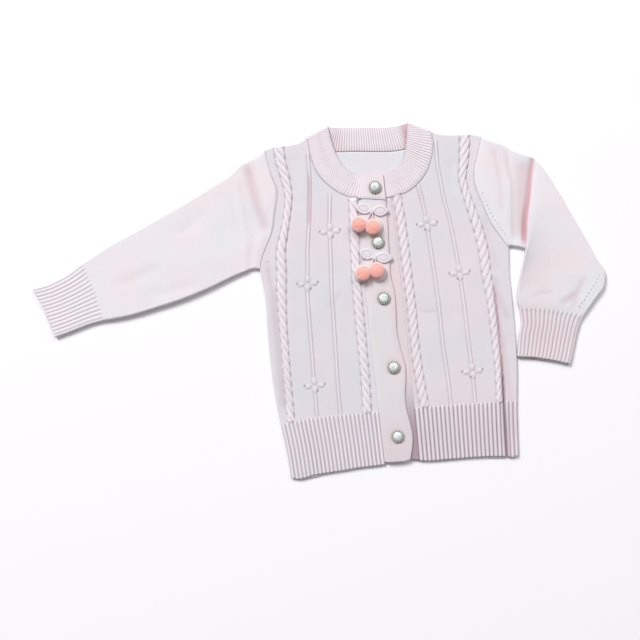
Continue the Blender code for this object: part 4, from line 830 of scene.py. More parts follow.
@dataclass(frozen=True)
class KnitFinish:
    """Very pale pink cotton-like yarn: matt and soft, with a deeper pink where it hides light.

    Over the garment the yarn drifts between a cool and a warm tone. Raised ribs and strands get a
    painted highlight, valleys a painted shade that goes mauve and then dark, the pits between
    stitches a light painted shade, and creases a painted pink shade. Sizes are in millimetres.
    """

    name: str
    fabric: Fabric = Fabric.STOCKING
    cool: str = "#E1DFE6"
    warm: str = "#E8DFE5"
    # Painted highlight on raised ribs and strands
    light: str = "#FBF3F8"
    # Painted shade in valleys, grooves and eyelets
    hollow: str = "#AB959E"
    # A darker painted shade where the painted shade runs deepest, in folds and eyelets
    deep: str = "#65565C"
    # Painted pink shade in creases and folds
    crease_pink_shade: str = "#D6A7AE"
    shade: str = "#E2D6DC"
    warmth: float = 0.5
    drift_size: float = 62.5
    drift_span: tuple = (0.36, 0.64)
    highlight_share: float = 0.85
    highlight_most: float = 0.6
    hollow_share: float = 0.75
    hollow_most: float = 0.95
    deep_from: float = 1.2
    deep_share: float = 0.8
    pit_share: float = 0.3
    fibre_size: float = 0.1923
    fibre_height: float = 0.35
    stitch_depth: float = 0.3
    bump: float = 0.55
    roughness: float = 0.92
    sheen: float = 0.12
    loop_round: float = 0.92
    purl_arch: float = 0.22
    leg_lean: float = -0.75
    leg_low: float = 0.4

    def stitch_height(self, wale: Term, course: Term) -> Term:
        """Draws one stitch in each unit of the stitch map.

        Args:
            wale: The count of stitches across.
            course: The count of stitches up.

        Returns:
            The stitch's height, from 0 to 1.
        """
        across = wale.do("FRACT")
        if self.fabric is Fabric.PURL:
            # The back of a stitch is one bar that arches over its neighbours
            along = (course + (across * math.tau).do("SINE") * self.purl_arch).do("FRACT")
            return ((along * 2.0 - 1.0) * self.loop_round).dome()
        # The front of a stitch is a V: two legs that lean apart upwards
        leg = (across * 2.0 - 1.0).do("ABSOLUTE")
        along = (course + leg * self.leg_lean).do("FRACT")
        long_way = ((along * 2.0 - 1.0) * self.loop_round).dome()
        wide_way = (leg * 2.0 - 1.0).dome()
        return wide_way * (long_way * (1.0 - self.leg_low) + self.leg_low)

    @staticmethod
    def bridges(course: Term) -> Term:
        """Draws the loops that bridge a rib line's valley, one every two courses, from 0 to 1."""
        return (course * math.pi).do("COSINE") * 0.5 + 0.5

    def make(self) -> bpy.types.Material:
        """Makes the material, with its stitches 1.65 mm wide and its fibres under 0.2 mm.

        Returns:
            The material.
        """
        made, tree, shader = new_material(self.name, {
            "Roughness": self.roughness, "Sheen Weight": self.sheen, "Sheen Roughness": 0.5,
            "Specular IOR Level": 0.25})
        place = node(tree, "ShaderNodeTexCoord").outputs["Object"]
        drift = node(tree, "ShaderNodeTexNoise",
                     {"Vector": place, "Scale": per_metre(self.drift_size), "Detail": 3.0,
                      "Roughness": 0.45})
        warm_share = node(tree, "ShaderNodeMapRange",
                          {"Value": drift.outputs[0], "From Min": self.drift_span[0],
                           "From Max": self.drift_span[1], "To Min": self.warmth - 0.5,
                           "To Max": self.warmth + 0.5}).outputs[0]
        hollow, crest, pink, dots = (
            Term(node(tree, "ShaderNodeAttribute", attribute_name=name).outputs["Fac"])
            for name in ("hollow", "crest", "pink", "dotted"))
        stitches = node(tree, "ShaderNodeUVMap", uv_map="Stitches").outputs[0]
        counts = node(tree, "ShaderNodeSeparateXYZ", {0: stitches}).outputs
        wale, course = Term(counts[0]), Term(counts[1])
        # The loops that bridge a rib line's valley break its painted shade
        hollow = hollow - dots * self.bridges(course)
        height = self.stitch_height(wale, course)
        tone = colour(self.cool)
        # Layers over the drifting tone: painted highlight on crests, painted pink shade in creases,
        # painted shade in valleys, and a darker painted shade where that shade runs deepest
        for share, tint in (
                (warm_share, self.warm),
                ((crest * self.highlight_share).do("MINIMUM", self.highlight_most), self.light),
                (pink, self.crease_pink_shade),
                ((hollow * self.hollow_share).do("MINIMUM", self.hollow_most), self.hollow),
                (((hollow - self.deep_from) * self.deep_share).do("MAXIMUM", 0.0), self.deep)):
            layer = {"Factor": share, "A": tone, "B": colour(tint)}
            tone = mixed(node(tree, "ShaderNodeMix", layer, data_type="RGBA"))
        # Painted shade in the pits between stitches
        pits = {"Factor": (1.0 - height) * self.pit_share, "A": tone, "B": colour(self.shade)}
        darker = node(tree, "ShaderNodeMix", pits, data_type="RGBA", blend_type="MULTIPLY")
        tree.links.new(mixed(darker), shader.inputs["Base Color"])
        fibre = node(tree, "ShaderNodeTexNoise",
                     {"Vector": place, "Scale": per_metre(self.fibre_size), "Detail": 2.0,
                      "Roughness": 0.7})
        rough = height + Term(fibre.outputs[0]) * self.fibre_height
        bump = node(tree, "ShaderNodeBump",
                    {"Strength": self.bump, "Distance": self.stitch_depth * MM,
                     "Height": rough})
        tree.links.new(bump.outputs[0], shader.inputs["Normal"])
        return made


@dataclass(frozen=True)
class PearlFinish:
    """Aqua-white imitation mother of pearl: glossy, clouded from grey-green to bluish white."""

    name: str = "pearl_aqua_gloss"
    body: str = "#DDEAE8"
    cloud: str = "#C2D6D1"
    flash: str = "#F1F5FA"
    cloud_size: float = 4.1667
    cloud_span: tuple = (0.35, 0.66)

    def make(self) -> bpy.types.Material:
        """Makes the material, with clouds about 4 mm across under a clear coat.

        Returns:
            The material.
        """
        made, tree, shader = new_material(self.name, {
            "Roughness": 0.22, "Coat Weight": 0.7, "Coat Roughness": 0.06})
        place = node(tree, "ShaderNodeTexCoord").outputs["Object"]
        cloud = node(tree, "ShaderNodeTexNoise",
                     {"Vector": place, "Scale": per_metre(self.cloud_size), "Detail": 2.0,
                      "Distortion": 0.8})
        ramp = node(tree, "ShaderNodeValToRGB", {"Fac": cloud.outputs[0]})
        stops = ramp.color_ramp.elements
        for stop, place_on, tint in zip(stops, self.cloud_span, (self.cloud, self.flash)):
            stop.position = place_on
            stop.color = colour(tint)
        stops.new(0.5).color = colour(self.body)
        tree.links.new(ramp.outputs[0], shader.inputs["Base Color"])
        return made


@dataclass(frozen=True)
class AgedBrassFinish:
    """Plated brass dulled with age: dark brown in its hollows, pale where it is rubbed.

    Tarnish and dirt cover most of the metal, so it mirrors little.
    """

    name: str = "brass_aged_cast"
    worn: str = "#D8D0C0"
    dark: str = "#3A332A"
    tarnish_size: float = 1.1111

    def make(self) -> bpy.types.Material:
        """Makes the material, with patches of tarnish about 1 mm across.

        Returns:
            The material.
        """
        made, tree, shader = new_material(self.name, {"Metallic": 0.25})
        place = node(tree, "ShaderNodeTexCoord").outputs["Object"]
        tarnish = node(tree, "ShaderNodeTexNoise",
                       {"Vector": place, "Scale": per_metre(self.tarnish_size),
                        "Detail": 3.0}).outputs[0]
        tip = Term(node(tree, "ShaderNodeAttribute", attribute_name="tip").outputs["Fac"])
        rub = (tip + 0.1) * (Term(tarnish) + 0.7)
        tone = node(tree, "ShaderNodeMix", {"Factor": rub, "A": colour(self.dark),
                                            "B": colour(self.worn)}, data_type="RGBA")
        tree.links.new(mixed(tone), shader.inputs["Base Color"])
        dull = node(tree, "ShaderNodeMapRange",
                    {"Value": tarnish, "To Min": 0.3, "To Max": 0.6})
        tree.links.new(dull.outputs[0], shader.inputs["Roughness"])
        return made


@dataclass(frozen=True)
class FluffFinish:
    """Brushed coral yarn, cut into a pompom: matt, deep at the roots and pale at the tips.

    It has a faint painted glow in its own colour, which stands in for the light that thousands of
    fine hairs pass on and the few thick locks drawn here can't.
    """

    name: str = "yarn_coral_brushed"
    root: str = "#FFC0B5"
    tip: str = "#FFF1EA"
    tuft_size: float = 2.381
    tuft_share: float = 0.6
    glow: float = 0.2

    def make(self) -> bpy.types.Material:
        """Makes the material from each lock's own root-to-tip value, in tufts of 2 to 3 mm.

        Returns:
            The material.
        """
        made, tree, shader = new_material(self.name, {
            "Roughness": 0.95, "Sheen Weight": 0.4, "Subsurface Weight": 0.5,
            "Subsurface Radius": (1.0, 0.5, 0.45), "Subsurface Scale": 3 * MM,
            "Emission Color": colour(self.root), "Emission Strength": self.glow})
        tip = Term(node(tree, "ShaderNodeAttribute", attribute_name="tip").outputs["Fac"])
        place = node(tree, "ShaderNodeTexCoord").outputs["Object"]
        tuft = node(tree, "ShaderNodeTexNoise",
                    {"Vector": place, "Scale": per_metre(self.tuft_size), "Detail": 2.0})
        level = tip + (Term(tuft.outputs[0]) - 0.5) * self.tuft_share
        tone = node(tree, "ShaderNodeMix", {"Factor": level, "A": colour(self.root),
                                            "B": colour(self.tip)}, data_type="RGBA")
        tree.links.new(mixed(tone), shader.inputs["Base Color"])
        return made


# ---------------------------------------------------------------------------------------------
# Geometry Nodes


def finished(obj: bpy.types.Object) -> bpy.types.Object:
    """Turns an object's modifiers into a plain mesh.

    Args:
        obj: The object, with its modifiers set.

    Returns:
        The same object, with the evaluated mesh and no modifier.
    """
    bpy.context.view_layer.update()
    graph = bpy.context.evaluated_depsgraph_get()
    made = bpy.data.meshes.new_from_object(obj.evaluated_get(graph),
                                           preserve_all_data_layers=True, depsgraph=graph)
    obj.modifiers.clear()
    obj.data = made
    for face in made.polygons:
        face.use_smooth = True
    return obj


@dataclass
class GeometryTree:
    """A Geometry Nodes tree that ends in Realize Instances and Set Material."""

    name: str
    inputs: dict

    def __post_init__(self) -> None:
        """Makes the tree's sockets and its first node, and builds the rest."""
        self.tree = bpy.data.node_groups.new(self.name, "GeometryNodeTree")
        face = self.tree.interface
        face.new_socket("Geometry", in_out="INPUT", socket_type="NodeSocketGeometry")
        face.new_socket("Geometry", in_out="OUTPUT", socket_type="NodeSocketGeometry")
        self.sockets = {}
        for name, value in self.inputs.items():
            kind = "NodeSocketInt" if isinstance(value, int) else "NodeSocketFloat"
            made = face.new_socket(name, in_out="INPUT", socket_type=kind)
            made.default_value = value
            self.sockets[name] = made.identifier
        made = face.new_socket("Material", in_out="INPUT", socket_type="NodeSocketMaterial")
        self.sockets["Material"] = made.identifier
        self.source = self.tree.nodes.new("NodeGroupInput")
        self.build()

    def node(self, kind: str, inputs: dict | None = None, **settings: object) -> bpy.types.Node:
        """Adds a node to the tree."""
        return node(self.tree, kind, inputs, **settings)

    def given(self, name: str) -> Term:
        """Returns one of the tree's named inputs."""
        return Term(self.source.outputs[name])

    def value(self, name: str) -> Term:
        """Reads a named value of the mesh."""
        return Term(self.node("GeometryNodeInputNamedAttribute", {"Name": name},
                              data_type="FLOAT").outputs[0])

    def height(self) -> Term:
        """Reads the height of each point of the shape at hand."""
        place = self.node("GeometryNodeInputPosition").outputs[0]
        return Term(self.node("ShaderNodeSeparateXYZ", {0: place}).outputs[2])

    def end(self, geometry: object) -> None:
        """Ends the tree: realizes the instances and sets the material.

        Args:
            geometry: The geometry to end with.
        """
        real = self.node("GeometryNodeRealizeInstances", {0: geometry})
        dressed = self.node("GeometryNodeSetMaterial",
                            {"Geometry": real.outputs[0], "Material": self.given("Material")})
        self.node("NodeGroupOutput", {0: dressed.outputs[0]})

    def build(self) -> None:
        """Builds what lies between the input and the output. Each kind of tree has its own."""
        self.end(self.given("Geometry"))

    def apply(self, obj: bpy.types.Object, material: bpy.types.Material,
              **values: float) -> bpy.types.Object:
        """Runs the tree on an object.

        Args:
            obj: The object.
            material: What the result is made of.
            **values: The tree's inputs that differ from their usual values.

        Returns:
            The object, with the result as its mesh.
        """
        modifier = obj.modifiers.new(self.name, "NODES")
        modifier.node_group = self.tree
        modifier[self.sockets["Material"]] = material
        for name, value in values.items():
            modifier[self.sockets[name.replace("_", " ")]] = value
        return finished(obj)


class KnitRelief(GeometryTree):
    """Raises ribs, cables and rib lines along each point's own outward direction."""

    # Powers: one below 1 widens a crest, and one above 1 narrows a valley
    rib_round = 0.55
    valley_round = 1.1
    strand_round = 0.65
    # How far a strand leans across the cable, in turns, and how much more it leans at the edges
    strand_lean = 0.48
    edge_lean = 0.2
    # The cable is as wide as this between two strands, and wider by this at a strand's middle
    neck_width = 0.74
    strand_bulge = 0.44
    # How high the cable is between two strands, as a share of a strand's height
    strand_foot = 0.38
    # The bank beside a cable, in half widths from its middle, and how it and the grooves shade
    bank_at = 1.1
    bank_wide = 0.16
    bank_shade = 0.6
    groove_shade = 1.15
    # Half the widths of a rib line's crest and valleys in millimetres, and its dots' shade
    crest_wide = 0.75
    valley_wide = 0.6
    dot_shade = 0.8

    def build(self) -> None:
        """Adds up the relief from the values that the mesh carries."""
        rib, rib_pit = self.ribs()
        cable, cable_pit = self.cables()
        line, line_pit = self.lines()
        wave = self.node("ShaderNodeTexNoise",
                         {"Vector": self.node("GeometryNodeInputPosition").outputs[0],
                          "Scale": self.given("Wave Scale"), "Detail": 1.0,
                          "W": self.given("Seed")}, noise_dimensions="4D")
        swell = (Term(wave.outputs[0]) - 0.5) * self.given("Wave Height") * self.value("loose")
        relief = rib + cable + line
        pit = rib_pit.do("MAXIMUM", cable_pit.do("MAXIMUM", line_pit))
        away = self.node("ShaderNodeCombineXYZ",
                         {k: self.value(f"out_{axis}") for k, axis in enumerate("xyz")})
        shift = self.node("ShaderNodeVectorMath",
                          {0: away.outputs[0], "Scale": (relief + swell) * MM},
                          operation="SCALE")
        geometry = self.given("Geometry")
        # Masks for the finish: painted shade in valleys and grooves, painted highlight on raised
        # crests, and where the loops bridging a rib line break its painted shade
        for name, value in (
                ("hollow", pit.do("MAXIMUM", self.value("pit"))),
                ("crest", relief.do("MAXIMUM", 0.0) / self.given("Full Crest")),
                ("dotted", line_pit * self.dot_shade)):
            geometry = self.node("GeometryNodeStoreNamedAttribute",
                                 {"Geometry": geometry, "Name": name, "Value": value},
                                 data_type="FLOAT", domain="POINT").outputs[0]
        moved = self.node("GeometryNodeSetPosition",
                          {"Geometry": geometry, "Offset": shift.outputs[0]})
        self.end(moved.outputs[0])

    def ribs(self) -> tuple[Term, Term]:
        """Raises the ribs: wide crests and narrow valleys.

        Returns:
            How far each point rises, and how deep in a valley it is.
        """
        wave = (self.value("rib") * math.pi).do("SINE").do("ABSOLUTE")
        crest = wave.do("POWER", self.rib_round)
        valley = self.given("Rib Valley")
        rise = crest * (self.given("Rib Crest") + valley) - valley
        pit = (1.0 - crest).do("POWER", self.valley_round) * self.given("Rib Shade")
        on = self.value("rib_on")
        return rise * on, pit * on

    def cables(self) -> tuple[Term, Term]:
        """Raises the cables: strands that cross over one another, between two low banks.

        Returns:
            How far each point rises, and how deep in a groove it is.
        """
        across = self.value("cable_across")
        lean = across * self.strand_lean + across * across * across * self.edge_lean
        turn = self.value("cable_turn") + lean * self.value("cable_twist")
        off = turn.do("FRACT") * 2.0 - 1.0
        lobe = off.dome().do("POWER", self.strand_round)
        near = across.do("ABSOLUTE") / (off.dome() * self.strand_bulge + self.neck_width)
        arch = near.dome()
        bank = near.hump(self.bank_at, self.bank_wide)
        shape = arch * (lobe * (1.0 - self.strand_foot) + self.strand_foot)
        rise = shape * self.given("Cable Rise") - bank * self.given("Cable Bank")
        groove = (1.0 - lobe) * (arch * self.groove_shade)
        pit = (bank * self.bank_shade).do("MAXIMUM", groove)
        on = self.value("cable_on")
        return rise * on, pit * on

    def lines(self) -> tuple[Term, Term]:
        """Raises the rib lines: a narrow crest between two valleys.

        Returns:
            How far each point rises, and how deep in a valley it is.
        """
        off = self.value("line_off").do("ABSOLUTE")
        crest = off.hump(0.0, self.crest_wide) * self.given("Line Crest")
        valley = off.hump(LINE_HALF, self.valley_wide)
        on = self.value("line_on")
        return (crest - valley * self.given("Line Valley")) * on, valley * on


class StitchRow(GeometryTree):
    """Sets a row of small knitted loops along a line, each turned to follow it."""

    def build(self) -> None:
        """Spaces the loops along the line and sizes them. Each has a few dozen faces."""
        path = self.node("GeometryNodeMeshToCurve", {"Mesh": self.given("Geometry")})
        even = self.node("GeometryNodeResampleCurve",
                         {"Curve": path.outputs[0], "Length": self.given("Pitch")}, mode="LENGTH")
        points = self.node("GeometryNodeCurveToPoints", {"Curve": even.outputs[0]},
                           mode="EVALUATED")
        loop = self.node("GeometryNodeMeshUVSphere",
                         {"Segments": 8, "Rings": 5, "Radius": 0.5})
        tilt = self.node("ShaderNodeCombineXYZ", {2: self.given("Tilt")})
        turn = self.node("FunctionNodeEulerToRotation", {0: tilt.outputs[0]})
        lean = self.node("FunctionNodeRotateRotation",
                         {"Rotation": points.outputs["Rotation"], "Rotate By": turn.outputs[0]},
                         rotation_space="GLOBAL")
        size = self.node("ShaderNodeCombineXYZ",
                         {0: self.given("Thick"), 1: self.given("Thick"), 2: self.given("Long")})
        rows = self.node("GeometryNodeInstanceOnPoints",
                         {"Points": points.outputs["Points"], "Instance": loop.outputs["Mesh"],
                          "Rotation": lean.outputs[0], "Scale": size.outputs[0]})
        self.end(rows.outputs[0])


class BeadRing(GeometryTree):
    """Sets beads on the points of a mesh, as round the rim of a button."""

    def build(self) -> None:
        """Puts a small bead on each point and marks its top as rubbed."""
        bead = self.node("GeometryNodeMeshIcoSphere",
                         {"Radius": self.given("Radius"), "Subdivisions": 2})
        marked = self.node("GeometryNodeStoreNamedAttribute",
                           {"Geometry": bead.outputs[0], "Name": "tip",
                            "Value": self.height() / self.given("Radius")},
                           data_type="FLOAT", domain="POINT")
        rows = self.node("GeometryNodeInstanceOnPoints",
                         {"Points": self.given("Geometry"), "Instance": marked.outputs[0]})
        self.end(rows.outputs[0])


class Fluff(GeometryTree):
    """Covers a core with three-sided locks that stand out from it."""

    # How far a lock may lean and turn, in radians, and how short it may be
    lean = 0.35
    turn = 3.1
    shortest = 0.7

    def build(self) -> None:
        """Scatters the locks, and joins them to the core."""
        core = self.given("Geometry")
        points = self.node("GeometryNodeDistributePointsOnFaces",
                           {"Mesh": core, "Density": self.given("Density"),
                            "Seed": self.given("Seed")})
        lock = self.node("GeometryNodeMeshCone",
                         {"Vertices": 3, "Side Segments": 2, "Radius Top": 0.0,
                          "Radius Bottom": self.given("Thick"), "Depth": self.given("Long")})
        marked = self.node("GeometryNodeStoreNamedAttribute",
                           {"Geometry": lock.outputs["Mesh"], "Name": "tip",
                            "Value": self.height() / self.given("Long")},
                           data_type="FLOAT", domain="POINT")
        jitter = self.node("FunctionNodeRandomValue",
                           {"Min": (-self.lean, -self.lean, -self.turn),
                            "Max": (self.lean, self.lean, self.turn),
                            "Seed": self.given("Seed")}, data_type="FLOAT_VECTOR")
        by = self.node("FunctionNodeEulerToRotation", {0: jitter.outputs[0]})
        turned = self.node("FunctionNodeRotateRotation",
                           {"Rotation": points.outputs["Rotation"], "Rotate By": by.outputs[0]},
                           rotation_space="LOCAL")
        grow = self.node("FunctionNodeRandomValue",
                         {2: self.shortest, 3: 1.0, "Seed": self.given("Seed")},
                         data_type="FLOAT")
        rows = self.node("GeometryNodeInstanceOnPoints",
                         {"Points": points.outputs["Points"], "Instance": marked.outputs[0],
                          "Rotation": turned.outputs[0], "Scale": grow.outputs[1]})
        both = self.node("GeometryNodeJoinGeometry")
        self.tree.links.new(core.socket, both.inputs[0])
        self.tree.links.new(rows.outputs[0], both.inputs[0])
        self.end(both.outputs[0])


# ---------------------------------------------------------------------------------------------
# Pieces


def placed(name: str, mesh: bpy.types.Mesh) -> bpy.types.Object:
    """Puts a mesh into the scene at the origin.

    Args:
        name: The object's name.
        mesh: Its mesh.

    Returns:
        The object.
    """
    made = bpy.data.objects.new(name, mesh)
    bpy.context.scene.collection.objects.link(made)
    return made


def dress(obj: bpy.types.Object, slot: str, *nodes: str) -> bpy.types.Object:
    """Joins a finished piece to the frame.

    Args:
        obj: The piece.
        slot: The name of its material slot. Not used.
        *nodes: The solids that it stands for.

    Returns:
        The piece.
    """
    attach(obj, BODY)
    if nodes:
        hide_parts(*nodes)
    LOG.info("%s: %d faces", obj.name, len(obj.data.polygons))
    return obj


@dataclass
class Workroom:
    """The finishes and the trees that the pieces share."""

    knit: bpy.types.Material
    purl: bpy.types.Material
    sleeve: bpy.types.Material
    ribbing: bpy.types.Material
    band: bpy.types.Material
    leaf: bpy.types.Material
    pearl: bpy.types.Material
    brass: bpy.types.Material
    coral: bpy.types.Material
    relief: KnitRelief
    row: StitchRow
    beads: BeadRing
    fluff: Fluff

    @classmethod
    def open(cls) -> "Workroom":
        """Makes the finishes and the trees.

        Returns:
            The room with all of them.
        """
        return cls(
            knit=KnitFinish("yarn_pale_pink_stocking_stitch").make(),
            purl=KnitFinish("yarn_pale_pink_reverse_side", Fabric.PURL, cool="#E2E1E8",
                            warm="#E9DEE5", warmth=0.2).make(),
            # A lighter copy of the same yarn, as painted light: the sleeves show lighter than the
            # body
            sleeve=KnitFinish("yarn_pale_pink_sleeve", cool="#EBECF0", warm="#F2E8EC",
                              light="#FFFAFD").make(),
            ribbing=KnitFinish("yarn_pale_pink_ribbed", cool="#EEEBF0", warm="#F2E7ED",
                               warmth=0.55, stitch_depth=0.12).make(),
            band=KnitFinish("yarn_pale_pink_close_band", cool="#E1E0E3", warm="#E8DDE1",
                            warmth=0.55, stitch_depth=0.2).make(),
            # A lighter copy of the yarn, partly painted light that lifts the discs in the pompoms'
            # shadow
            leaf=KnitFinish("yarn_pale_pink_close_applique", cool="#E9EAF0", warm="#EDE6ED",
                            warmth=0.5, stitch_depth=0.3).make(),
            pearl=PearlFinish().make(),
            brass=AgedBrassFinish().make(),
            coral=FluffFinish().make(),
            relief=KnitRelief("knit_relief", {
                "Rib Crest": 0.6, "Rib Valley": 0.9, "Rib Shade": 1.35, "Cable Rise": 1.6,
                "Cable Bank": 0.9,
                "Line Crest": 0.7, "Line Valley": 0.8, "Full Crest": 0.9, "Wave Scale": 22.0,
                "Wave Height": 1.3, "Seed": 3.0}),
            row=StitchRow("stitch_row", {"Pitch": 0.002, "Thick": 0.001, "Long": 0.002,
                                         "Tilt": 0.0}),
            beads=BeadRing("bead_ring", {"Radius": 0.001}),
            fluff=Fluff("fluff", {"Density": 1e6, "Thick": 0.0003, "Long": 0.003, "Seed": 4}),
        )


def upper_height(points: np.ndarray, us: np.ndarray, vs: np.ndarray, base: np.ndarray,
                 left: np.ndarray | float = FREE_ROLL,
                 right: np.ndarray | float = FREE_ROLL) -> np.ndarray:
    """Works out the rounded upper face of a wall.

    Args:
        points: The grid of places.
        us: The columns' shares of the width.
        vs: The rows' shares of the height.
        base: The height of the wall's underside.
        left: How far in from its left edge the wall is rounded, at each row.
        right: The same for its right edge.

    Returns:
        The height of each point.
    """
    wide = np.linalg.norm(points[:, -1] - points[:, 0], axis=1)[:, None]
    high = np.linalg.norm(points[-1] - points[0], axis=1)[None]
    rolls = [np.reshape(left, (-1, 1)), np.reshape(right, (-1, 1)), FREE_ROLL]
    ways = [us[None] * wide, (1 - us)[None] * wide, np.minimum(vs, 1 - vs)[:, None] * high]
    drop = np.zeros(points.shape[:2])
    for way, roll in zip(ways, rolls):
        near = np.clip(way / roll, 0.0, 1.0)
        drop = np.maximum(drop, 0.55 * roll * (1 - np.sqrt(1 - (1 - near) ** 2)))
    return base + WALL - drop


def underside(made: Cloth, points: np.ndarray, numbers: np.ndarray, level: float,
              stride: int = 6) -> None:
    """Closes a flat underside with a coarse net, whose border cells reach every rim point.

    Args:
        made: What it is added to.
        points: The wall's grid of places.
        numbers: The numbers of the rim's points, in the same grid.
        level: The height of the underside.
        stride: How many of the grid's steps a cell spans.
    """
    rows, columns = numbers.shape
    down = [*range(0, rows - stride // 2, stride), rows - 1]
    over = [*range(0, columns - stride // 2, stride), columns - 1]
    inner = np.ix_(down[1:-1], over[1:-1])
    places = points[inner]
    numbers[inner] = made.add(np.dstack([places, np.full(places.shape[:2], level)]))
    for r0, r1 in zip(down, down[1:]):
        for c0, c1 in zip(over, over[1:]):
            across = list(range(c0, c1 + 1)) if r0 == 0 else [c0, c1]
            up = list(range(r0 + 1, r1 + 1)) if c1 == columns - 1 else [r1]
            back = list(range(c1 - 1, c0 - 1, -1)) if r1 == rows - 1 else [c0]
            down_again = list(range(r1 - 1, r0, -1)) if c0 == 0 else []
            loop = [numbers[r0, c] for c in across] + [numbers[r, c1] for r in up]
            loop += [numbers[r1, c] for c in back] + [numbers[r, c0] for r in down_again]
            made.cap(np.array(loop))


def wall(points: np.ndarray, top: np.ndarray, under: np.ndarray | float,
         **values: np.ndarray) -> Cloth:
    """Makes a closed wall from its grid of places.

    Args:
        points: The grid of places, anticlockwise round its rim.
        top: The height of the upper face at each point.
        under: The height of the underside: one number if it is flat.
        **values: Named values of the upper face.

    Returns:
        The wall.
    """
    made = Cloth()
    upper = made.add(np.dstack([points, top]), out_z=1.0, **values)
    made.net(upper)
    flat = points.reshape(-1, 2)
    index = rim_of(np.arange(points[..., 0].size).reshape(points.shape[:2]))
    low = np.broadcast_to(under, top.shape)
    bottom_rim = low.reshape(-1)[index]
    top_rim = top.reshape(-1)[index]
    tucked = inwards(flat[index], 0.5)
    middle = made.add(np.column_stack([flat[index], 0.5 * (top_rim + bottom_rim)]))
    made.net(np.stack([rim_of(upper), middle]), closed=True)
    if np.ndim(under) == 0:
        foot = made.add(np.column_stack([tucked, bottom_rim]))
        made.net(np.stack([middle, foot]), closed=True)
        numbers = np.full(flat.shape[0], -1)
        numbers[index] = foot
        underside(made, points, numbers.reshape(top.shape), float(under))
        return made
    places = points.copy().reshape(-1, 2)
    places[index] = tucked
    lower = made.add(np.dstack([places.reshape(points.shape), low]))
    made.net(lower)
    made.net(np.stack([middle, rim_of(lower)]), closed=True)
    return made


def knitted(name: str, made: Cloth, room: Workroom, yarn: bpy.types.Material,
            slot: str = "knit", **sizes: float) -> bpy.types.Object:
    """Raises a knitted piece's relief, and joins the piece to the frame.

    Args:
        name: The solid that the piece stands for.
        made: The piece's points and faces.
        room: The shared finishes and trees.
        yarn: What it is made of.
        slot: The name of its material slot.
        **sizes: The relief's sizes that differ from their usual values.

    Returns:
        The piece.
    """
    obj = placed(f"{name}_knit", made.mesh(name))
    return dress(room.relief.apply(obj, yarn, **sizes), slot, name)


def upright(rows: tuple, name: str, low: float, high: float, count: int) -> np.ndarray:
    """Draws one column of a table as a line.

    Args:
        rows: The table.
        name: The column.
        low: The height of the line's foot.
        high: The height of its top.
        count: How many points it has.

    Returns:
        The line's points, from its foot to its top.
    """
    ys = np.linspace(low, high, count)
    return np.stack([column(rows, name, ys), ys], 1)


def neck_seam(rows: tuple) -> np.ndarray:
    """Lists the points of the neckband's seam along some rows of its table."""
    return np.array([[row.seam_x, row.seam_y] for row in rows])


def line_values(rows: tuple, girths: tuple, flowers: dict, twist: float, rib_top: tuple,
                x: np.ndarray, y: np.ndarray) -> dict:
    """Works out which rib, cable or line each point of a front belongs to.

    Args:
        rows: The front's courses.
        girths: Half the widths of its cables.
        flowers: The heights of the flowers on each line.
        twist: Which way the cables turn, 1 or -1.
        rib_top: The line where the hem's ribs end.
        x: The points' first coordinates.
        y: Their second coordinates.

    Returns:
        The named values that the relief reads.
    """
    side = column(rows, "side", y)
    share = (x - side) / (column(rows, "seam", y) - side)
    top_y = follow([p.x for p in rib_top], [p.y for p in rib_top], x)
    found = {
        "rib": share * HEM_RIBS,
        "rib_on": smooth((top_y - y) / RIB_FADE + 0.4),
        "wale": share * HEM_RIBS * STITCHES_A_RIB,
        "course": y / STITCH_HIGH,
        "cable_across": np.full(x.shape, FAR_OFF),
        "cable_turn": (y - CABLE_BOTTOM_Y) / CABLE_PITCH,
        "cable_twist": np.full(x.shape, twist),
        "line_off": np.full(x.shape, FAR_OFF),
    }
    body = smooth((y - top_y + 0.8) / BODY_FADE)
    cable_on = np.zeros(x.shape)
    for name, top in CABLE_TOPS.items():
        across = (x - column(rows, name, y)) / column(girths, name, y)
        near = np.abs(across) < CABLE_REACH
        found["cable_across"] = np.where(near, across, found["cable_across"])
        cable_on = np.where(near, body * smooth((top - y) / CABLE_FADE), cable_on)
    line_on = np.zeros(x.shape)
    for name, top in LINE_TOPS.items():
        off = x - column(rows, name, y)
        plain = np.ones(x.shape)
        for flower in flowers[name]:
            plain *= smooth((np.abs(y - flower) - FLOWER_REACH) / FLOWER_FADE + 0.5)
        near = np.abs(off) < LINE_REACH
        found["line_off"] = np.where(near, off, found["line_off"])
        line_on = np.where(near, plain * body * smooth((top - y) / LINE_FADE), line_on)
    return {**found, "cable_on": cable_on, "line_on": line_on}


def petals(rows: tuple, flowers: dict, x: np.ndarray,
           y: np.ndarray) -> tuple[np.ndarray, np.ndarray]:
    """Works out the petals: soft pads in thin grooves, which are deepest beside and below them.

    Args:
        rows: The front's courses.
        flowers: The heights of the flowers on each line.
        x: The points' first coordinates.
        y: Their second coordinates.

    Returns:
        How far each point rises, and how deep in a groove it is.
    """
    rise = np.zeros(x.shape)
    pit = np.zeros(x.shape)
    for name, heights in flowers.items():
        for flower, petal in ((height, petal) for height in heights for petal in PETALS):
            middle = column(rows, name, np.array([flower + petal.up]))[0] + petal.out
            over = (x - middle) / petal.wide
            up = (y - flower - petal.up) / petal.high
            off = np.hypot(over, up)
            lean = np.where(petal.out == 0.0, np.abs(over), np.maximum(-up, 0.0))
            strength = 0.4 + 0.6 * lean / np.maximum(off, 0.1)
            groove = strength * np.exp(-(((off - 1.0) / PETAL_GROOVE_WIDE) ** 2))
            rise += PETAL_RISE * smooth((1.0 - off) / 0.5) - PETAL_GROOVE * groove
            pit = np.maximum(pit, PETAL_SHADE * groove)
    return rise, pit


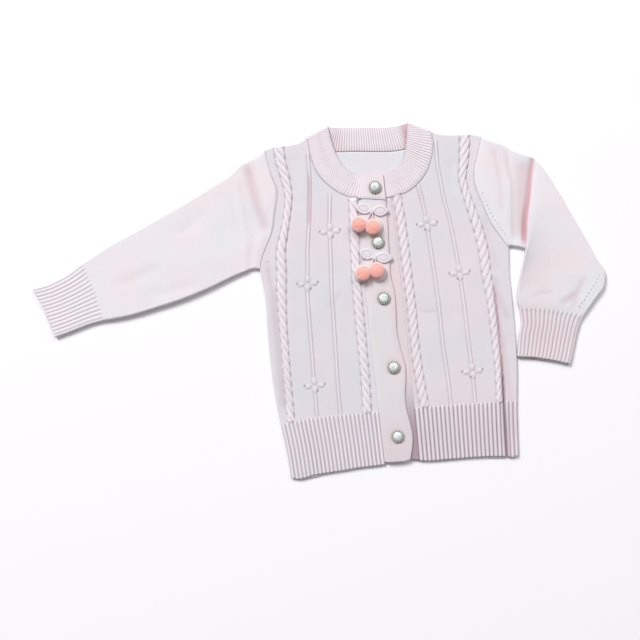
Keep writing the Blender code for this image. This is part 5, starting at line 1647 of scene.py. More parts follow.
def eyelets(rows: tuple, flowers: dict) -> list[Point]:
    """Lists the eyelets of a front's flowers.

    Args:
        rows: The front's courses.
        flowers: The heights of the flowers on each line.

    Returns:
        The eyelets' middles.
    """
    found = []
    for name, heights in flowers.items():
        for flower in heights:
            middle = float(column(rows, name, np.array([flower]))[0])
            to_band = -math.copysign(1.0, middle)
            found += [Point(middle + to_band * hole.x, flower + hole.y) for hole in EYELETS]
    return found


@dataclass
class Front:
    """One front, from its side edge and armhole to the seam of its band."""

    name: str
    side: Side
    rows: tuple
    girths: tuple
    neck: tuple
    armhole: tuple
    shoulder: tuple
    hem: tuple
    rib_top: tuple
    flowers: dict
    creases: tuple
    rib_shade: float
    width: float = 110.0
    height: float = 375.0
    columns_a_rib: int = 7
    row_step: float = 1.1
    edge_fade: float = 3.0
    hem_loose: float = 0.4
    eyelet_depth: float = 0.9
    eyelet_shade: float = 2.3

    def patch(self) -> Patch:
        """Finds the front's four lines, with the left one at the viewer's left.

        Returns:
            The patch between them.
        """
        on_right = self.side is Side.RIGHT
        ends = self.hem[0], self.hem[-1]
        outer_hem, inner_hem = ends if on_right else ends[::-1]
        edge = upright(self.rows, "side", outer_hem.y, self.armhole[-1].y, 60)[:-1]
        edge[0] = outer_hem
        outer = np.concatenate([edge, resample(self.armhole, 90)[::-1]])
        neck = neck_seam(self.neck)
        neck = resample(neck if neck[-1, 1] > neck[0, 1] else neck[::-1], 240)
        band_x = column(self.rows, "seam", neck[:, 1])
        neck = neck[neck[:, 0] < band_x if on_right else neck[:, 0] > band_x]
        seam = upright(self.rows, "seam", inner_hem.y, neck[0, 1], 60)[:-1]
        inner = np.concatenate([seam, neck])
        shoulder = resample(self.shoulder, 40)
        shoulder[0] = inner[-1]
        hem = resample(self.hem, 80)
        if on_right:
            return Patch(hem, shoulder[::-1], outer, inner)
        return Patch(hem, shoulder, inner, outer)

    def build(self, room: Workroom) -> None:
        """Makes the front with its relief.

        Args:
            room: The shared finishes and trees.
        """
        us = shares(self.width, self.width / (HEM_RIBS * self.columns_a_rib))
        vs = shares(self.height, self.row_step)
        points = self.patch().grid(us, vs)
        x, y = points[..., 0], points[..., 1]
        values = line_values(self.rows, self.girths, self.flowers, self.side.value, self.rib_top,
                             x, y)
        # The creases sink the cloth, and give it painted pink shade and painted shade
        rise, pink, pit = creased(self.creases, x, y)
        petal_rise, petal_pit = petals(self.rows, self.flowers, x, y)
        rise += petal_rise
        pit += petal_pit
        for hole in eyelets(self.rows, self.flowers):
            near = np.exp(-((np.hypot(x - hole.x, y - hole.y) / EYELET_RADIUS) ** 2))
            rise -= self.eyelet_depth * near
            pit += self.eyelet_shade * near
        on_right = self.side is Side.RIGHT
        outer = np.where(points[:, 0 if on_right else -1, 1] > self.armhole[-1].y, SEWN_ROLL,
                         FREE_ROLL)
        rolls = (outer, SEWN_ROLL) if on_right else (SEWN_ROLL, outer)
        top = upper_height(points, us, vs, FRONT_Z, *rolls)
        inside = smooth(np.minimum(us, 1 - us)[None] * self.width / self.edge_fade)
        loose = inside * np.where(values["rib_on"] > 0.5, self.hem_loose, 1.0)
        made = wall(points, top + rise * inside, FRONT_Z, pink=pink, pit=pit, loose=loose,
                    **values)
        obj = knitted(self.name, made, room, room.knit, Rib_Shade=self.rib_shade)


@dataclass
class Back:
    """The back, under everything else, whose inside shows within the neck."""

    name: str = "back"
    width: float = 280.0
    height: float = 375.0
    step: float = 2.6

    def build(self, room: Workroom) -> None:
        """Makes the back as a smooth wall of reverse stocking stitch.

        Args:
            room: The shared finishes and trees.
        """
        right_side = upright(RIGHT_COURSES, "side", RIGHT_HEM[0].y, RIGHT_ARMHOLE[-1].y, 60)
        left_side = upright(LEFT_COURSES, "side", LEFT_HEM[-1].y, LEFT_ARMHOLE[-1].y, 60)
        left = np.concatenate([right_side[:-1], resample(RIGHT_ARMHOLE, 80)[::-1]])
        right = np.concatenate([left_side[:-1], resample(LEFT_ARMHOLE, 80)[::-1]])
        hem = resample(BACK_HEM, 90)
        left[0] = hem[0]
        right[0] = hem[-1]
        top = np.concatenate([resample(RIGHT_SHOULDER, 30)[::-1][:-1],
                              resample(neck_seam(NECK_BACK), 160),
                              resample(LEFT_SHOULDER, 30)[1:]])
        us = shares(self.width, self.step)
        vs = shares(self.height, self.step)
        points = Patch(hem, top, left, right).grid(us, vs)
        made = wall(points, upper_height(points, us, vs, 0.0), 0.0,
                    wale=points[..., 0] / STITCH_WIDE, course=points[..., 1] / STITCH_HIGH)
        obj = knitted(self.name, made, room, room.purl)


@dataclass
class TopBand:
    """The wearer's right band, which steps up from its seam on to the band that it covers."""

    name: str = "band_right"
    width: float = 32.0
    height: float = 298.0
    column_step: float = 0.9
    row_step: float = 1.2
    neck_y: float = 71.6
    step_wide: float = 4.0
    dimple: float = 0.45
    dimple_reach: float = 8.5
    painted_pink: float = 0.14
    painted_pink_ring: float = 7.6
    painted_pink_wide: float = 1.8
    wales: int = 20
    low_painted_shade: float = 0.16

    def lift(self, x: np.ndarray, y: np.ndarray) -> np.ndarray:
        """Returns the height of the band's underside."""
        share = (x - column(RIGHT_COURSES, "seam", y) - 0.8) / self.step_wide
        return FRONT_Z + (BAND_Z - FRONT_Z) * smooth(share)

    def build(self, room: Workroom) -> None:
        """Makes the band, dimpled a little round its buttons, with painted pink shade round them,
        and greyer towards the hem with painted shade.

        Args:
            room: The shared finishes and trees.
        """
        seam = upright(RIGHT_COURSES, "seam", BAND_HEM[0].y, self.neck_y, 120)
        edge = resample(BAND_EDGE, 160)[::-1]
        neck = resample(neck_seam(NECK_RIGHT[:4]), 60)[::-1]
        neck = neck[neck[:, 0] > seam[-1, 0]]
        neck = np.concatenate([seam[-1:], neck[:-1], edge[-1:]])
        us = shares(self.width, self.column_step)
        vs = shares(self.height, self.row_step)
        points = Patch(resample(BAND_HEM, 40), neck, seam, edge).grid(us, vs)
        x, y = points[..., 0], points[..., 1]
        under = self.lift(x, y)
        top = upper_height(points, us, vs, under, left=SEWN_ROLL)
        # Painted pink shade in a ring round each button and towards the free edge, and painted
        # shade towards the hem
        pink = np.zeros(x.shape)
        for button in BUTTONS[1:]:
            off = np.hypot(x - button.x, y - button.y)
            top = top - self.dimple * np.exp(-((off / self.dimple_reach) ** 2))
            ring = (off - self.painted_pink_ring) / self.painted_pink_wide
            pink += self.painted_pink * np.exp(-(ring ** 2))
        pink += self.painted_pink * smooth((us[None] - 0.72) / 0.3)
        low = smooth((-150.0 - y) / 70.0)
        made = wall(points, top, under, pink=pink * (1 - low), pit=self.low_painted_shade * low,
                    loose=0.35, wale=us[None] * self.wales, course=y / STITCH_HIGH)
        obj = knitted(self.name, made, room, room.band)


@dataclass
class UnderBand:
    """The wearer's left band, which shows beyond the edge of the top one."""

    name: str = "band_left"
    width: float = 31.0
    height: float = 296.0
    column_step: float = 1.1
    row_step: float = 1.6
    edge_top_y: float = 66.2
    seam_top_y: float = 67.8
    ribs: int = 7
    wales: int = 20
    low_painted_shade: float = 1.2

    def build(self, room: Workroom) -> None:
        """Makes the band, ribbed at the hem and in a painted deep shade there.

        Args:
            room: The shared finishes and trees.
        """
        seam = upright(LEFT_COURSES, "seam", UNDER_HEM[-1].y, self.seam_top_y, 90)
        ys = np.linspace(UNDER_HEM[0].y, self.edge_top_y, 90)
        edge = np.stack([np.full(len(ys), UNDER_EDGE_X), ys], 1)
        neck = np.array([edge[-1], (7.0, 66.6), seam[-1]])
        us = shares(self.width, self.column_step)
        vs = shares(self.height, self.row_step)
        points = Patch(resample(UNDER_HEM, 30), resample(neck, 20), edge, seam).grid(us, vs)
        y = points[..., 1]
        top = upper_height(points, us, vs, FRONT_Z, right=SEWN_ROLL)
        # Painted shade towards the hem
        low = smooth((-130.0 - y) / 70.0)
        made = wall(points, top, FRONT_Z, pink=0.15 - 0.1 * low, pit=self.low_painted_shade * low,
                    rib=us[None] * self.ribs, rib_on=0.5 * smooth((-170.0 - y) / 4.0),
                    wale=us[None] * self.wales, course=y / STITCH_HIGH)
        obj = knitted(self.name, made, room, room.band, Rib_Crest=0.2)


@dataclass
class Neckband:
    """The ribbed neckband, folded flat at both shoulders."""

    name: str = "neckband"
    steps_a_rib: int = 7
    bend_steps: int = 9
    wales_a_rib: int = 2
    courses: int = 20
    edge_shade: tuple = (0.3, 0.9, 0.9, 0.9)
    crease: Crease = Crease(((-36, 136), (-5, 134), (24, 131)), 0.35, 1.3, 0.0)

    def stretch(self, rows: tuple, start_rib: float) -> tuple[np.ndarray, float]:
        """Spaces stations along one stretch of the band.

        Args:
            rows: The stretch's table.
            start_rib: The number of the rib that it starts at.

        Returns:
            Each station as the table's columns and its place in the count of ribs, and the rib
            that the stretch ends at.
        """
        table = np.array(rows, float)
        middles = (table[:, :2] + table[:, 2:4]) / 2
        run = np.concatenate([[0.0], np.cumsum(np.linalg.norm(np.diff(middles, axis=0), axis=1))])
        ribs = round(run[-1] / NECK_RIB_PITCH)
        at = np.linspace(0.0, run[-1], ribs * self.steps_a_rib + 1)
        made = [follow(run, table[:, k], at) for k in range(table.shape[1])]
        made.append(start_rib + at / run[-1] * ribs)
        return np.stack(made, 1), start_rib + ribs

    @staticmethod
    def section(station: np.ndarray, facing: np.ndarray,
                middle_z: float) -> tuple[np.ndarray, np.ndarray]:
        """Works out the closed section of the band at one station.

        Args:
            station: The station's columns.
            facing: The direction of the band's outer face.
            middle_z: The height of the band's middle.

        Returns:
            The section's points and the way out at each.
        """
        seam = np.array([station[0], station[1], middle_z])
        free = np.array([station[2], station[3], middle_z])
        width = np.linalg.norm(free - seam)
        along = (free - seam) / width
        # From the seam over the outer face, round the free edge and back along the inner face:
        # how far across, and how high as a share of half the wall
        places = [(0.25, -0.55), (0.2, 0.55), (0.9, 0.92)]
        places += [(share * width, 1.0) for share in np.linspace(0.1, 0.9, 9)]
        places += [(width - 0.9, 0.95), (width - 0.25, 0.7), (width, 0.0), (width - 0.25, -0.7)]
        places += [(width * share, -1.0) for share in (0.94, 0.7, 0.5, 0.3, 0.06)]
        points = np.array([seam + d * along + h * WALL / 2 * facing for d, h in places])
        ways = np.array([math.copysign(1.0, h) * facing * (abs(h) > 0.5) for _, h in places])
        return points, ways

    def bend(self, before: np.ndarray, after: np.ndarray) -> list:
        """Turns the band over a fold, from the end of one stretch to the start of the next.

        Args:
            before: The last station before the fold.
            after: The first station after it.

        Returns:
            For each station in the fold: its columns, the direction of its outer face, the height
            of its middle, and 1 because its outer face is the one that shows.
        """
        middles = (before[4] + WALL / 2, after[4] + WALL / 2)
        radius = abs(middles[0] - middles[1]) / 2
        along = before[2:4] - before[0:2]
        out = np.array([-along[1], along[0]]) / np.linalg.norm(along)
        out = out if out[1] > 0 else -out
        turn = 1.0 if middles[0] > middles[1] else -1.0
        made = []
        for step in range(1, self.bend_steps):
            angle = turn * (math.pi / 2 - math.pi * step / self.bend_steps)
            facing = np.array([*(out * math.cos(angle)), math.sin(angle)])
            station = before.copy()
            station[:4] += radius * math.cos(angle) * np.tile(out, 2)
            station[5] = 0.0
            made.append((station, facing, sum(middles) / 2 + radius * math.sin(angle), 1.0))
        return made

    @staticmethod
    def painted_pink(x: np.ndarray, y: np.ndarray, behind: np.ndarray) -> np.ndarray:
        """Works out where painted pink shade gathers inside the neck.

        Args:
            x: The points' first coordinates.
            y: Their second coordinates.
            behind: Which points are on the stretch behind the neck.

        Returns:
            How much painted pink shade each point takes: most down the left fold, and softly at the
            right shoulder.
        """
        fold = (x - 40 - (148 - y) * 0.02) / 4.2
        soft = np.hypot((x + 42) / 10, (y - 136) / 14)
        pink = 0.8 * np.exp(-(fold ** 2)) * smooth((y - 112) / 12) + 0.3 * np.exp(-(soft ** 2))
        return 0.04 + pink * behind

    def build(self, room: Workroom) -> None:
        """Makes the band, its ribs raised on the faces that are seen.

        Args:
            room: The shared finishes and trees.
        """
        up = np.array([0.0, 0.0, 1.0])
        right, rib = self.stretch(NECK_RIGHT, 0.0)
        back, rib = self.stretch(NECK_BACK, rib)
        left, _ = self.stretch(NECK_LEFT, rib)
        stations = [(s, up, s[4] + WALL / 2, 1.0) for s in right]
        stations += self.bend(right[-1], back[0])
        stations += [(s, -up, s[4] + WALL / 2, -1.0) for s in back]
        stations += self.bend(back[-1], left[0])
        stations += [(s, up, s[4] + WALL / 2, 1.0) for s in left]
        points, outs, on, ribs, behind = [], [], [], [], []
        for station, facing, middle_z, shown in stations:
            section, ways = self.section(station, facing, middle_z)
            across = (section[:, :2] - station[:2]) @ (station[2:4] - station[:2])
            across /= np.sum((station[2:4] - station[:2]) ** 2)
            seen = ((ways @ facing * shown) > 0.5).astype(float)
            seen[[1, 2]] *= (0.1, 0.5)
            points.append(section)
            outs.append(ways)
            on.append(seen * min(abs(station[5]) / 0.6, 0.7))
            ribs.append(station[7] + station[6] * (across - 0.5))
            behind.append(np.full(len(section), shown < 0))
        cloth = np.array(points)
        outs = np.array(outs)
        ribs = np.array(ribs)
        x, y, z = (cloth[..., k].copy() for k in range(3))
        pit = np.zeros(x.shape)
        pit[:, 12:16] = self.edge_shade
        rise, _, _ = creased((self.crease,), x, y)
        cloth[..., 2] += rise * (z < 2.2) * (z > 1.5)
        made = Cloth()
        grid = made.add(cloth, out_x=outs[..., 0], out_y=outs[..., 1], out_z=outs[..., 2],
                        rib=ribs, rib_on=np.array(on), pink=self.painted_pink(x, y, np.array(behind)),
                        pit=pit, wale=ribs * self.wales_a_rib,
                        course=np.broadcast_to(np.linspace(0, self.courses, x.shape[1]), x.shape))
        made.net(grid, closed=True)
        made.cap(grid[0])
        made.cap(grid[-1])
        obj = knitted(self.name, made, room, room.ribbing, "ribbing", Rib_Crest=0.6,
                      Rib_Valley=0.8, Rib_Shade=1.3)


@dataclass
class Sleeve:
    """A flattened sleeve, open at its armhole and at its cuff."""

    name: str
    side: Side
    rows: tuple
    armhole: tuple
    rib_row: int
    hollows: tuple
    creases: tuple
    flat: tuple
    area: float
    rib_shade: float
    overhang: tuple = (0.0, 0.0)
    row_step: float = 1.15
    columns: int = 117
    edge_steps: int = 12
    under_steps: int = 14
    lining_steps: int = 24
    lining_inset: float = 2.3
    layers: int = 3
    layer_depth: float = 1.3
    edge_roll: float = 2.6
    rib_height: float = 0.55
    cuff_blush: float = 0.08

    def rings(self) -> tuple[np.ndarray, np.ndarray]:
        """Reads the table at close steps.

        Returns:
            The rings' columns, and each ring's place in the table.
        """
        seam = self.seam()
        table = np.array(self.rows, float)
        table[0, :4] = (*seam[0], *seam[-1])
        middles = (table[:, :2] + table[:, 2:4]) / 2
        steps = np.linalg.norm(np.diff(middles, axis=0), axis=1)
        outer = np.linalg.norm(np.diff(table[:, :2], axis=0), axis=1)
        numbers = [0.0]
        for row, step in enumerate(np.maximum(steps, 0.7 * outer)):
            count = max(int(math.ceil(step / self.row_step)), 2)
            numbers += [row + (k + 1) / count for k in range(count)]
        at = np.array(numbers)
        run = np.concatenate([[0.0], np.cumsum(np.maximum(steps, 0.5 * outer))])
        places = np.interp(at, np.arange(len(run)), run)
        return np.stack([steady(run, table[:, k], places) for k in range(8)], 1), at

    def seam(self) -> np.ndarray:
        """Draws the sleeve's edge along the armhole, half a gap outside the panel's.

        Returns:
            The edge's points.
        """
        line = resample(self.armhole, 90)
        along = np.gradient(line, axis=0)
        left = np.stack([-along[:, 1], along[:, 0]], 1)
        left /= np.linalg.norm(left, axis=1, keepdims=True)
        return line - self.side.value * GAP / 2 * left

    def place(self, ring: np.ndarray, share: np.ndarray) -> np.ndarray:
        """Finds places across a ring, which keeps part of the armhole's curve.

        Args:
            ring: The ring's columns.
            share: How far across the places are, from the outer edge to the inner one.

        Returns:
            The places in plan.
        """
        seam = self.seam()
        outer, inner = ring[:2], ring[2:4]
        found = outer + share[:, None] * (inner - outer)
        places = np.linspace(0, 1, len(seam))
        curve = np.stack([np.interp(share, places, seam[:, k]) for k in (0, 1)], 1)
        chord = seam[0] + share[:, None] * (seam[-1] - seam[0])
        found = found + ring[4] * (curve - chord)
        across = (inner - outer) / np.linalg.norm(inner - outer)
        back = self.side.value * np.array([-across[1], across[0]])
        return found + ring[5] * np.sin(math.pi * np.clip(share, 0, 1))[:, None] * back

    def edge(self, height: float, layered: float) -> np.ndarray:
        """Works out a rounded edge, fullest just below its middle, from the table up.

        Args:
            height: The sleeve's height at that edge.
            layered: How deep the grooves between folded layers are, in millimetres.

        Returns:
            How far in each point lies, and its height, the lowest first.
        """
        share = np.arange(self.edge_steps + 1) / self.edge_steps
        level = 0.04 + 0.96 * np.sin(share * math.pi / 2) ** 1.15
        bulge = 1 - np.sqrt(np.maximum(1 - (2.0 * level - 0.9) ** 2 / 1.25, 0.0))
        ridge = 0.5 + 0.5 * np.cos(level * math.tau * self.layers)
        inset = self.edge_roll * bulge ** 1.4 + layered * ridge * (level < 0.93)
        return np.stack([inset - inset.min(), level * height], 1)

    def section(self, ring: np.ndarray, number: float) -> tuple[np.ndarray, np.ndarray,
                                                                np.ndarray]:
        """Works out one ring of the outer skin: over the top, then back along the table.

        Args:
            ring: The ring's columns.
            number: Its place in the table.

        Returns:
            The ring's points, their shares of the way across, and which of them are seen.
        """
        width = np.linalg.norm(ring[2:4] - ring[:2])
        first = self.edge(ring[6], 0.0)
        last = self.edge(ring[7], self.layer_depth * smooth((ring[7] - 7.4) / 1.5))[::-1]
        middle = np.linspace(first[-1, 0] / width, 1 - last[0, 0] / width, self.columns)[1:-1]
        over = np.concatenate([first[:, 0] / width, middle, 1 - last[:, 0] / width])
        top = ring[6] + smooth(middle) * (ring[7] - ring[6])
        height = np.concatenate([first[:, 1], top, last[:, 1]])
        under = np.linspace(1 - 2.0 / width, 2.0 / width, self.under_steps)
        share = np.concatenate([over, under])
        place = self.place(ring, share)
        # The underside of the last rings reaches out beyond the cuff, as it lies in the photo
        reach = smooth((number - len(self.rows) + 1.5) / 0.5)
        place[len(over):] += reach * np.sin(math.pi * under)[:, None] * self.overhang
        flat = np.zeros(self.under_steps)
        seen = height > self.rib_height * np.interp(over, [0, 1], ring[6:8])
        return (np.column_stack([place, np.concatenate([height, flat])]), share,
                np.concatenate([seen, flat]))

    def skin(self, made: Cloth, rings: np.ndarray, at: np.ndarray) -> np.ndarray:
        """Adds the outer skin, with its creases and the ribs of its cuff.

        Args:
            made: What it is added to.
            rings: The rings' columns.
            at: Each ring's place in the table.

        Returns:
            The numbers of the skin's points, a ring a row.
        """
        grid, share, seen = (np.array(part, float) for part in zip(
            *(self.section(ring, number) for ring, number in zip(rings, at))))
        width = np.linalg.norm(rings[:, 2:4] - rings[:, :2], axis=1)[:, None]
        number = at[:, None]
        # The creases sink the cloth, and give it painted pink shade and painted shade
        rise, pink, grey = creased(self.creases, grid[..., 0], grid[..., 1])
        seen_top = seen * smooth(np.minimum(share, 1 - share) * width / 5.0)
        grid[..., 2] += rise * seen_top
        cuff = smooth((number - self.rib_row + 0.3) / 0.6)
        before_end = smooth((len(self.rows) - 1 - number) / 0.12)
        edge = 2.8 / width
        rib = (share - edge) / (1 - 2 * edge) * CUFF_RIBS
        middle = grid[:, self.columns // 2, :2]
        run = np.concatenate([[0.0], np.cumsum(np.linalg.norm(np.diff(middle, axis=0), axis=1))])
        wale = np.where(cuff > 0.5, rib * STITCHES_A_RIB, (share - 0.5) * width / STITCH_WIDE)
        return made.add(grid, out_z=seen, rib=rib, pit=grey, pink=pink + self.cuff_blush * cuff,
                        rib_on=cuff * seen * (0.4 + 0.6 * before_end) * self.rib_height,
                        loose=seen_top * (1 - 0.7 * cuff) * smooth(number / 0.5),
                        wale=wale, course=run[:, None] / STITCH_HIGH)

    def lining(self, made: Cloth, rings: np.ndarray) -> np.ndarray:
        """Adds the inner face of the wall, one wall inside the outer skin.

        Args:
            made: What it is added to.
            rings: The columns of the rings that it runs along.

        Returns:
            The numbers of the lining's points, a ring a row.
        """
        points = []
        for ring in rings:
            tip = self.lining_inset / np.linalg.norm(ring[2:4] - ring[:2])
            middle = np.linspace(2 * tip, 1 - 2 * tip, self.lining_steps)
            height = ring[6] + smooth(middle) * (ring[7] - ring[6]) - WALL
            share = np.concatenate([[tip], middle, [1 - tip], middle[::-1]])
            z = np.concatenate([[ring[6] / 2], height, [ring[7] / 2],
                                np.full(self.lining_steps, WALL)])
            points.append(np.column_stack([self.place(ring, share), z]))
        return made.add(np.array(points))

    @staticmethod
    def bridge(made: Cloth, outer: np.ndarray, inner: np.ndarray) -> None:
        """Joins two loops that have different counts of points, by their shares of the way.

        Args:
            made: What the faces are added to.
            outer: The numbers of the one loop.
            inner: The numbers of the other.
        """
        i = j = 0
        faces = []
        many, few = len(outer), len(inner)
        while i < many or j < few:
            if j >= few or (i < many and (i + 1) / many <= (j + 1) / few):
                faces.append((outer[i % many], outer[(i + 1) % many], inner[j % few]))
                i += 1
            else:
                faces.append((outer[i % many], inner[(j + 1) % few], inner[j % few]))
                j += 1
        made.faces.append(np.array(faces))

    def build(self, room: Workroom) -> None:
        """Makes the sleeve with its wall, its creases and its ribbed cuff.

        Args:
            room: The shared finishes and trees.
        """
        rings, at = self.rings()
        made = Cloth()
        skin = self.skin(made, rings, at)
        made.net(skin, closed=True)
        for first, end in self.hollows:
            inside = np.concatenate([rings[(at >= first) & (at <= end)][::4], rings[at == end]])
            lining = self.lining(made, inside)
            made.net(lining, closed=True)
            if first == 0:
                self.bridge(made, skin[0], lining[0])
            else:
                made.cap(lining[0])
            if end == len(self.rows) - 1:
                self.bridge(made, skin[-1], lining[-1])
            else:
                made.cap(lining[-1])
        obj = knitted(self.name, made, room, room.sleeve, Rib_Crest=0.65, Rib_Valley=0.8,
                      Rib_Shade=self.rib_shade)


@dataclass
class ButtonSet:
    """Five domed pearl buttons, each in a beaded brass rim."""

    segments: int = 48
    beads: int = 16
    bead_radius: float = 1.05
    bead_ring: float = 6.25
    bead_height: float = 1.35
    bead_turn: float = 0.3
    rim: tuple = ((0.0, 0.0), (5.8, 0.0), (6.6, 0.3), (6.8, 0.7), (6.6, 1.1), (6.1, 1.4),
                  (5.55, 2.0), (5.4, 1.8), (5.45, 1.1), (0.0, 1.0))
    dome: tuple = ((0.0, 1.3), (5.1, 1.3), (5.35, 1.7), (5.3, 2.3), (4.9, 2.9), (4.2, 3.5),
                   (3.2, 4.0), (1.9, 4.35), (0.9, 4.47), (0.0, 4.5))

    def turned(self, name: str, profile: tuple, button: Button) -> bpy.types.Mesh:
        """Makes a solid of revolution on a button's axis.

        Args:
            name: The mesh's name.
            profile: Radius and height, from the axis round to the axis.
            button: The button.

        Returns:
            The mesh.
        """
        base = button.face + GAP
        angles = np.arange(self.segments) / self.segments * math.tau
        made = Cloth()
        rings = []
        for radius, height in profile[1:-1]:
            ring = np.stack([button.x + radius * np.cos(angles), button.y + radius * np.sin(angles),
                             np.full(self.segments, base + height)], 1)
            rings.append(made.add(ring))
        made.net(np.stack(rings), closed=True)
        for ring, end in ((rings[0], profile[0]), (rings[-1], profile[-1])):
            pole = made.add(np.array([[button.x, button.y, base + end[1]]]))[0]
            after = np.roll(ring, -1)
            made.faces.append(np.stack([ring, after, np.full(len(ring), pole)], 1))
        return made.mesh(name)

    def build(self, room: Workroom) -> None:
        """Makes the ten pieces, each rim's beads turned a little from those of the one above.

        Args:
            room: The shared finishes and trees.
        """
        for number, button in enumerate(BUTTONS, 1):
            pearl = placed(f"button_{number}_dome", self.turned("dome", self.dome, button))
            pearl.data.materials.append(room.pearl)
            dress(pearl, "pearl", f"button_{number}_pearl")
            plate = self.turned("rim", self.rim, button)
            angles = (np.arange(self.beads) + self.bead_turn * number) / self.beads * math.tau
            height = button.face + GAP + self.bead_height
            seats = np.stack([button.x + self.bead_ring * np.cos(angles),
                              button.y + self.bead_ring * np.sin(angles),
                              np.full(self.beads, height)], 1) * MM
            spots = bpy.data.meshes.new("seats")
            spots.from_pydata(seats.tolist(), [], [])
            beads = room.beads.apply(placed("beads", spots), room.brass,
                                     Radius=self.bead_radius * MM)
            joined = bmesh.new()
            joined.from_mesh(plate)
            joined.from_mesh(beads.data)
            joined.to_mesh(plate)
            joined.free()
            bpy.data.objects.remove(beads)
            rim = placed(f"button_{number}_beaded", plate)
            plate.materials.append(room.brass)
            for face in plate.polygons:
                face.use_smooth = True
                face.material_index = 0
            dress(rim, "rim", f"button_{number}_rim")


@dataclass
class CherrySet:
    """Two sprigs of knitted leaves, cord stems and discs, with four coral pompoms."""

    leaf_width: float = 12.4
    leaf_thick: float = 1.5
    disc_thick: float = 1.2
    knot_size: tuple = (3.0, 2.55)
    knot_thick: float = 2.6
    segments: int = 48
    stem_radius: float = 0.75
    stem_short: float = 5.0
    stem_steps: int = 16
    stem_sides: int = 10
    core: float = 6.6
    reach: float = 9.8
    flat: float = 0.66
    density: float = 3.0e6
    lock: float = 0.28
    seeds: tuple = (4, 9, 15, 23)

    def pad(self, made: Cloth, outline: np.ndarray, bottom: float, thick: float,
            groove: float, rows: int = 14) -> None:
        """Adds a soft pad over an outline, with a stitched line a little inside its edge.

        Args:
            made: What it is added to.
            outline: The outline's points, anticlockwise.
            bottom: The height of its underside.
            thick: Its thickness.
            groove: How far from the middle the line runs, as a share of the way to the edge.
            rows: How many rings the pad has.
        """
        centre = outline.mean(0)
        levels = np.linspace(1.0, 0.06, rows)
        rings = [made.add(np.column_stack([inwards(outline, 0.3), np.full(len(outline), bottom)]))]
        for level in levels:
            round_off = math.sqrt(max(1 - ((level - 0.82) / 0.18) ** 2, 0.0)) if level > 0.82 else 1
            dip = math.exp(-(((level - groove) / 0.05) ** 2)) if groove else 0.0
            z = bottom + thick * (0.45 + 0.55 * round_off) - 0.45 * dip
            place = centre + level * (outline - centre)
            # The stitched line sinks and takes a painted shade
            rings.append(made.add(np.column_stack([place, np.full(len(outline), z)]),
                                  pink=0.1, hollow=0.55 * dip, wale=place[:, 0] / 1.3,
                                  course=place[:, 1] / 1.2))
        made.net(np.stack(rings), closed=True)
        made.cap(rings[0])
        made.cap(rings[-1])

    def leaf(self, root: Point, tip: Point) -> np.ndarray:
        """Works out a leaf's outline, widest at its middle.

        Args:
            root: Where it starts.
            tip: Where it ends.

        Returns:
            The outline's points, anticlockwise.
        """
        length = math.dist(root, tip)
        along = np.array([tip.x - root.x, tip.y - root.y]) / length
        across = np.array([-along[1], along[0]])
        out = np.linspace(0.02, 1.0, 26)
        edge = []
        for side, run in ((-1, out), (1, out[-2::-1])):
            half = side * self.leaf_width / 2 * np.sin(math.pi * run) ** 0.7
            edge.append(np.array(root) + run[:, None] * length * along + half[:, None] * across)
        return np.concatenate(edge)

    def stem(self, made: Cloth, knot: Point, cherry: Point, bow: tuple) -> None:
        """Adds a round cord from the knot to the edge of a cherry.

        Args:
            made: What it is added to.
            knot: Where it starts.
            cherry: The middle of the cherry.
            bow: How far it bends to the viewer's left, and up.
        """
        share = np.linspace(0.0, 1.0 - self.stem_short / math.dist(knot, cherry), self.stem_steps)
        bend = np.sin(math.pi * share)
        x = knot.x + share * (cherry.x - knot.x) - bow[0] * bend
        y = knot.y + share * (cherry.y - knot.y) + bow[1] * bend
        along = np.stack([np.gradient(x), np.gradient(y)], 1)
        along /= np.linalg.norm(along, axis=1, keepdims=True)
        angles = np.arange(self.stem_sides) / self.stem_sides * math.tau
        out = self.stem_radius * np.cos(angles)[:, None]
        z = SPRIG_Z + self.leaf_thick + self.stem_radius * (np.sin(angles) + 0.2)
        rings = []
        for k in range(len(x)):
            side = np.array([-along[k, 1], along[k, 0]])
            ring = np.column_stack([np.array([x[k], y[k]]) + out * side, z])
            rings.append(made.add(ring, pink=0.1))
        made.net(np.stack(rings), closed=True)
        made.cap(rings[0])
        made.cap(rings[-1])

    def sprig(self, sprig: Sprig, room: Workroom) -> None:
        """Makes one sprig in the form of its solid.

        Args:
            sprig: Its places.
            room: The shared finishes and trees.
        """
        made = Cloth()
        angles = np.arange(self.segments) / self.segments * math.tau
        circle = np.stack([np.cos(angles), np.sin(angles)], 1)
        for centre in (sprig.disc_right, sprig.disc_left):
            outline = np.array(centre) + sprig.disc_radius * circle
            self.pad(made, outline, SPRIG_Z, self.disc_thick, 0.86)
        self.pad(made, self.leaf(sprig.knot, sprig.leaf_right), SPRIG_Z, self.leaf_thick, 0.55)
        self.pad(made, self.leaf(sprig.knot, sprig.leaf_left), SPRIG_Z, self.leaf_thick + 0.1, 0.55)
        knot = np.array(sprig.knot) + circle * self.knot_size
        self.pad(made, knot, SPRIG_Z, self.knot_thick, 0.0)
        between = Point(*((np.array(sprig.cherry_right) + sprig.cherry_left) / 2))
        self.stem(made, sprig.knot, between, (0.5, 0.2))
        self.stem(made, sprig.knot, sprig.cherry_left, (-0.8, -0.6))
        obj = placed(f"cherry_{sprig.name}_sprig", made.mesh("sprig"))
        obj.data.materials.append(room.leaf)
        dress(obj, "knit", f"cherry_{sprig.name}")

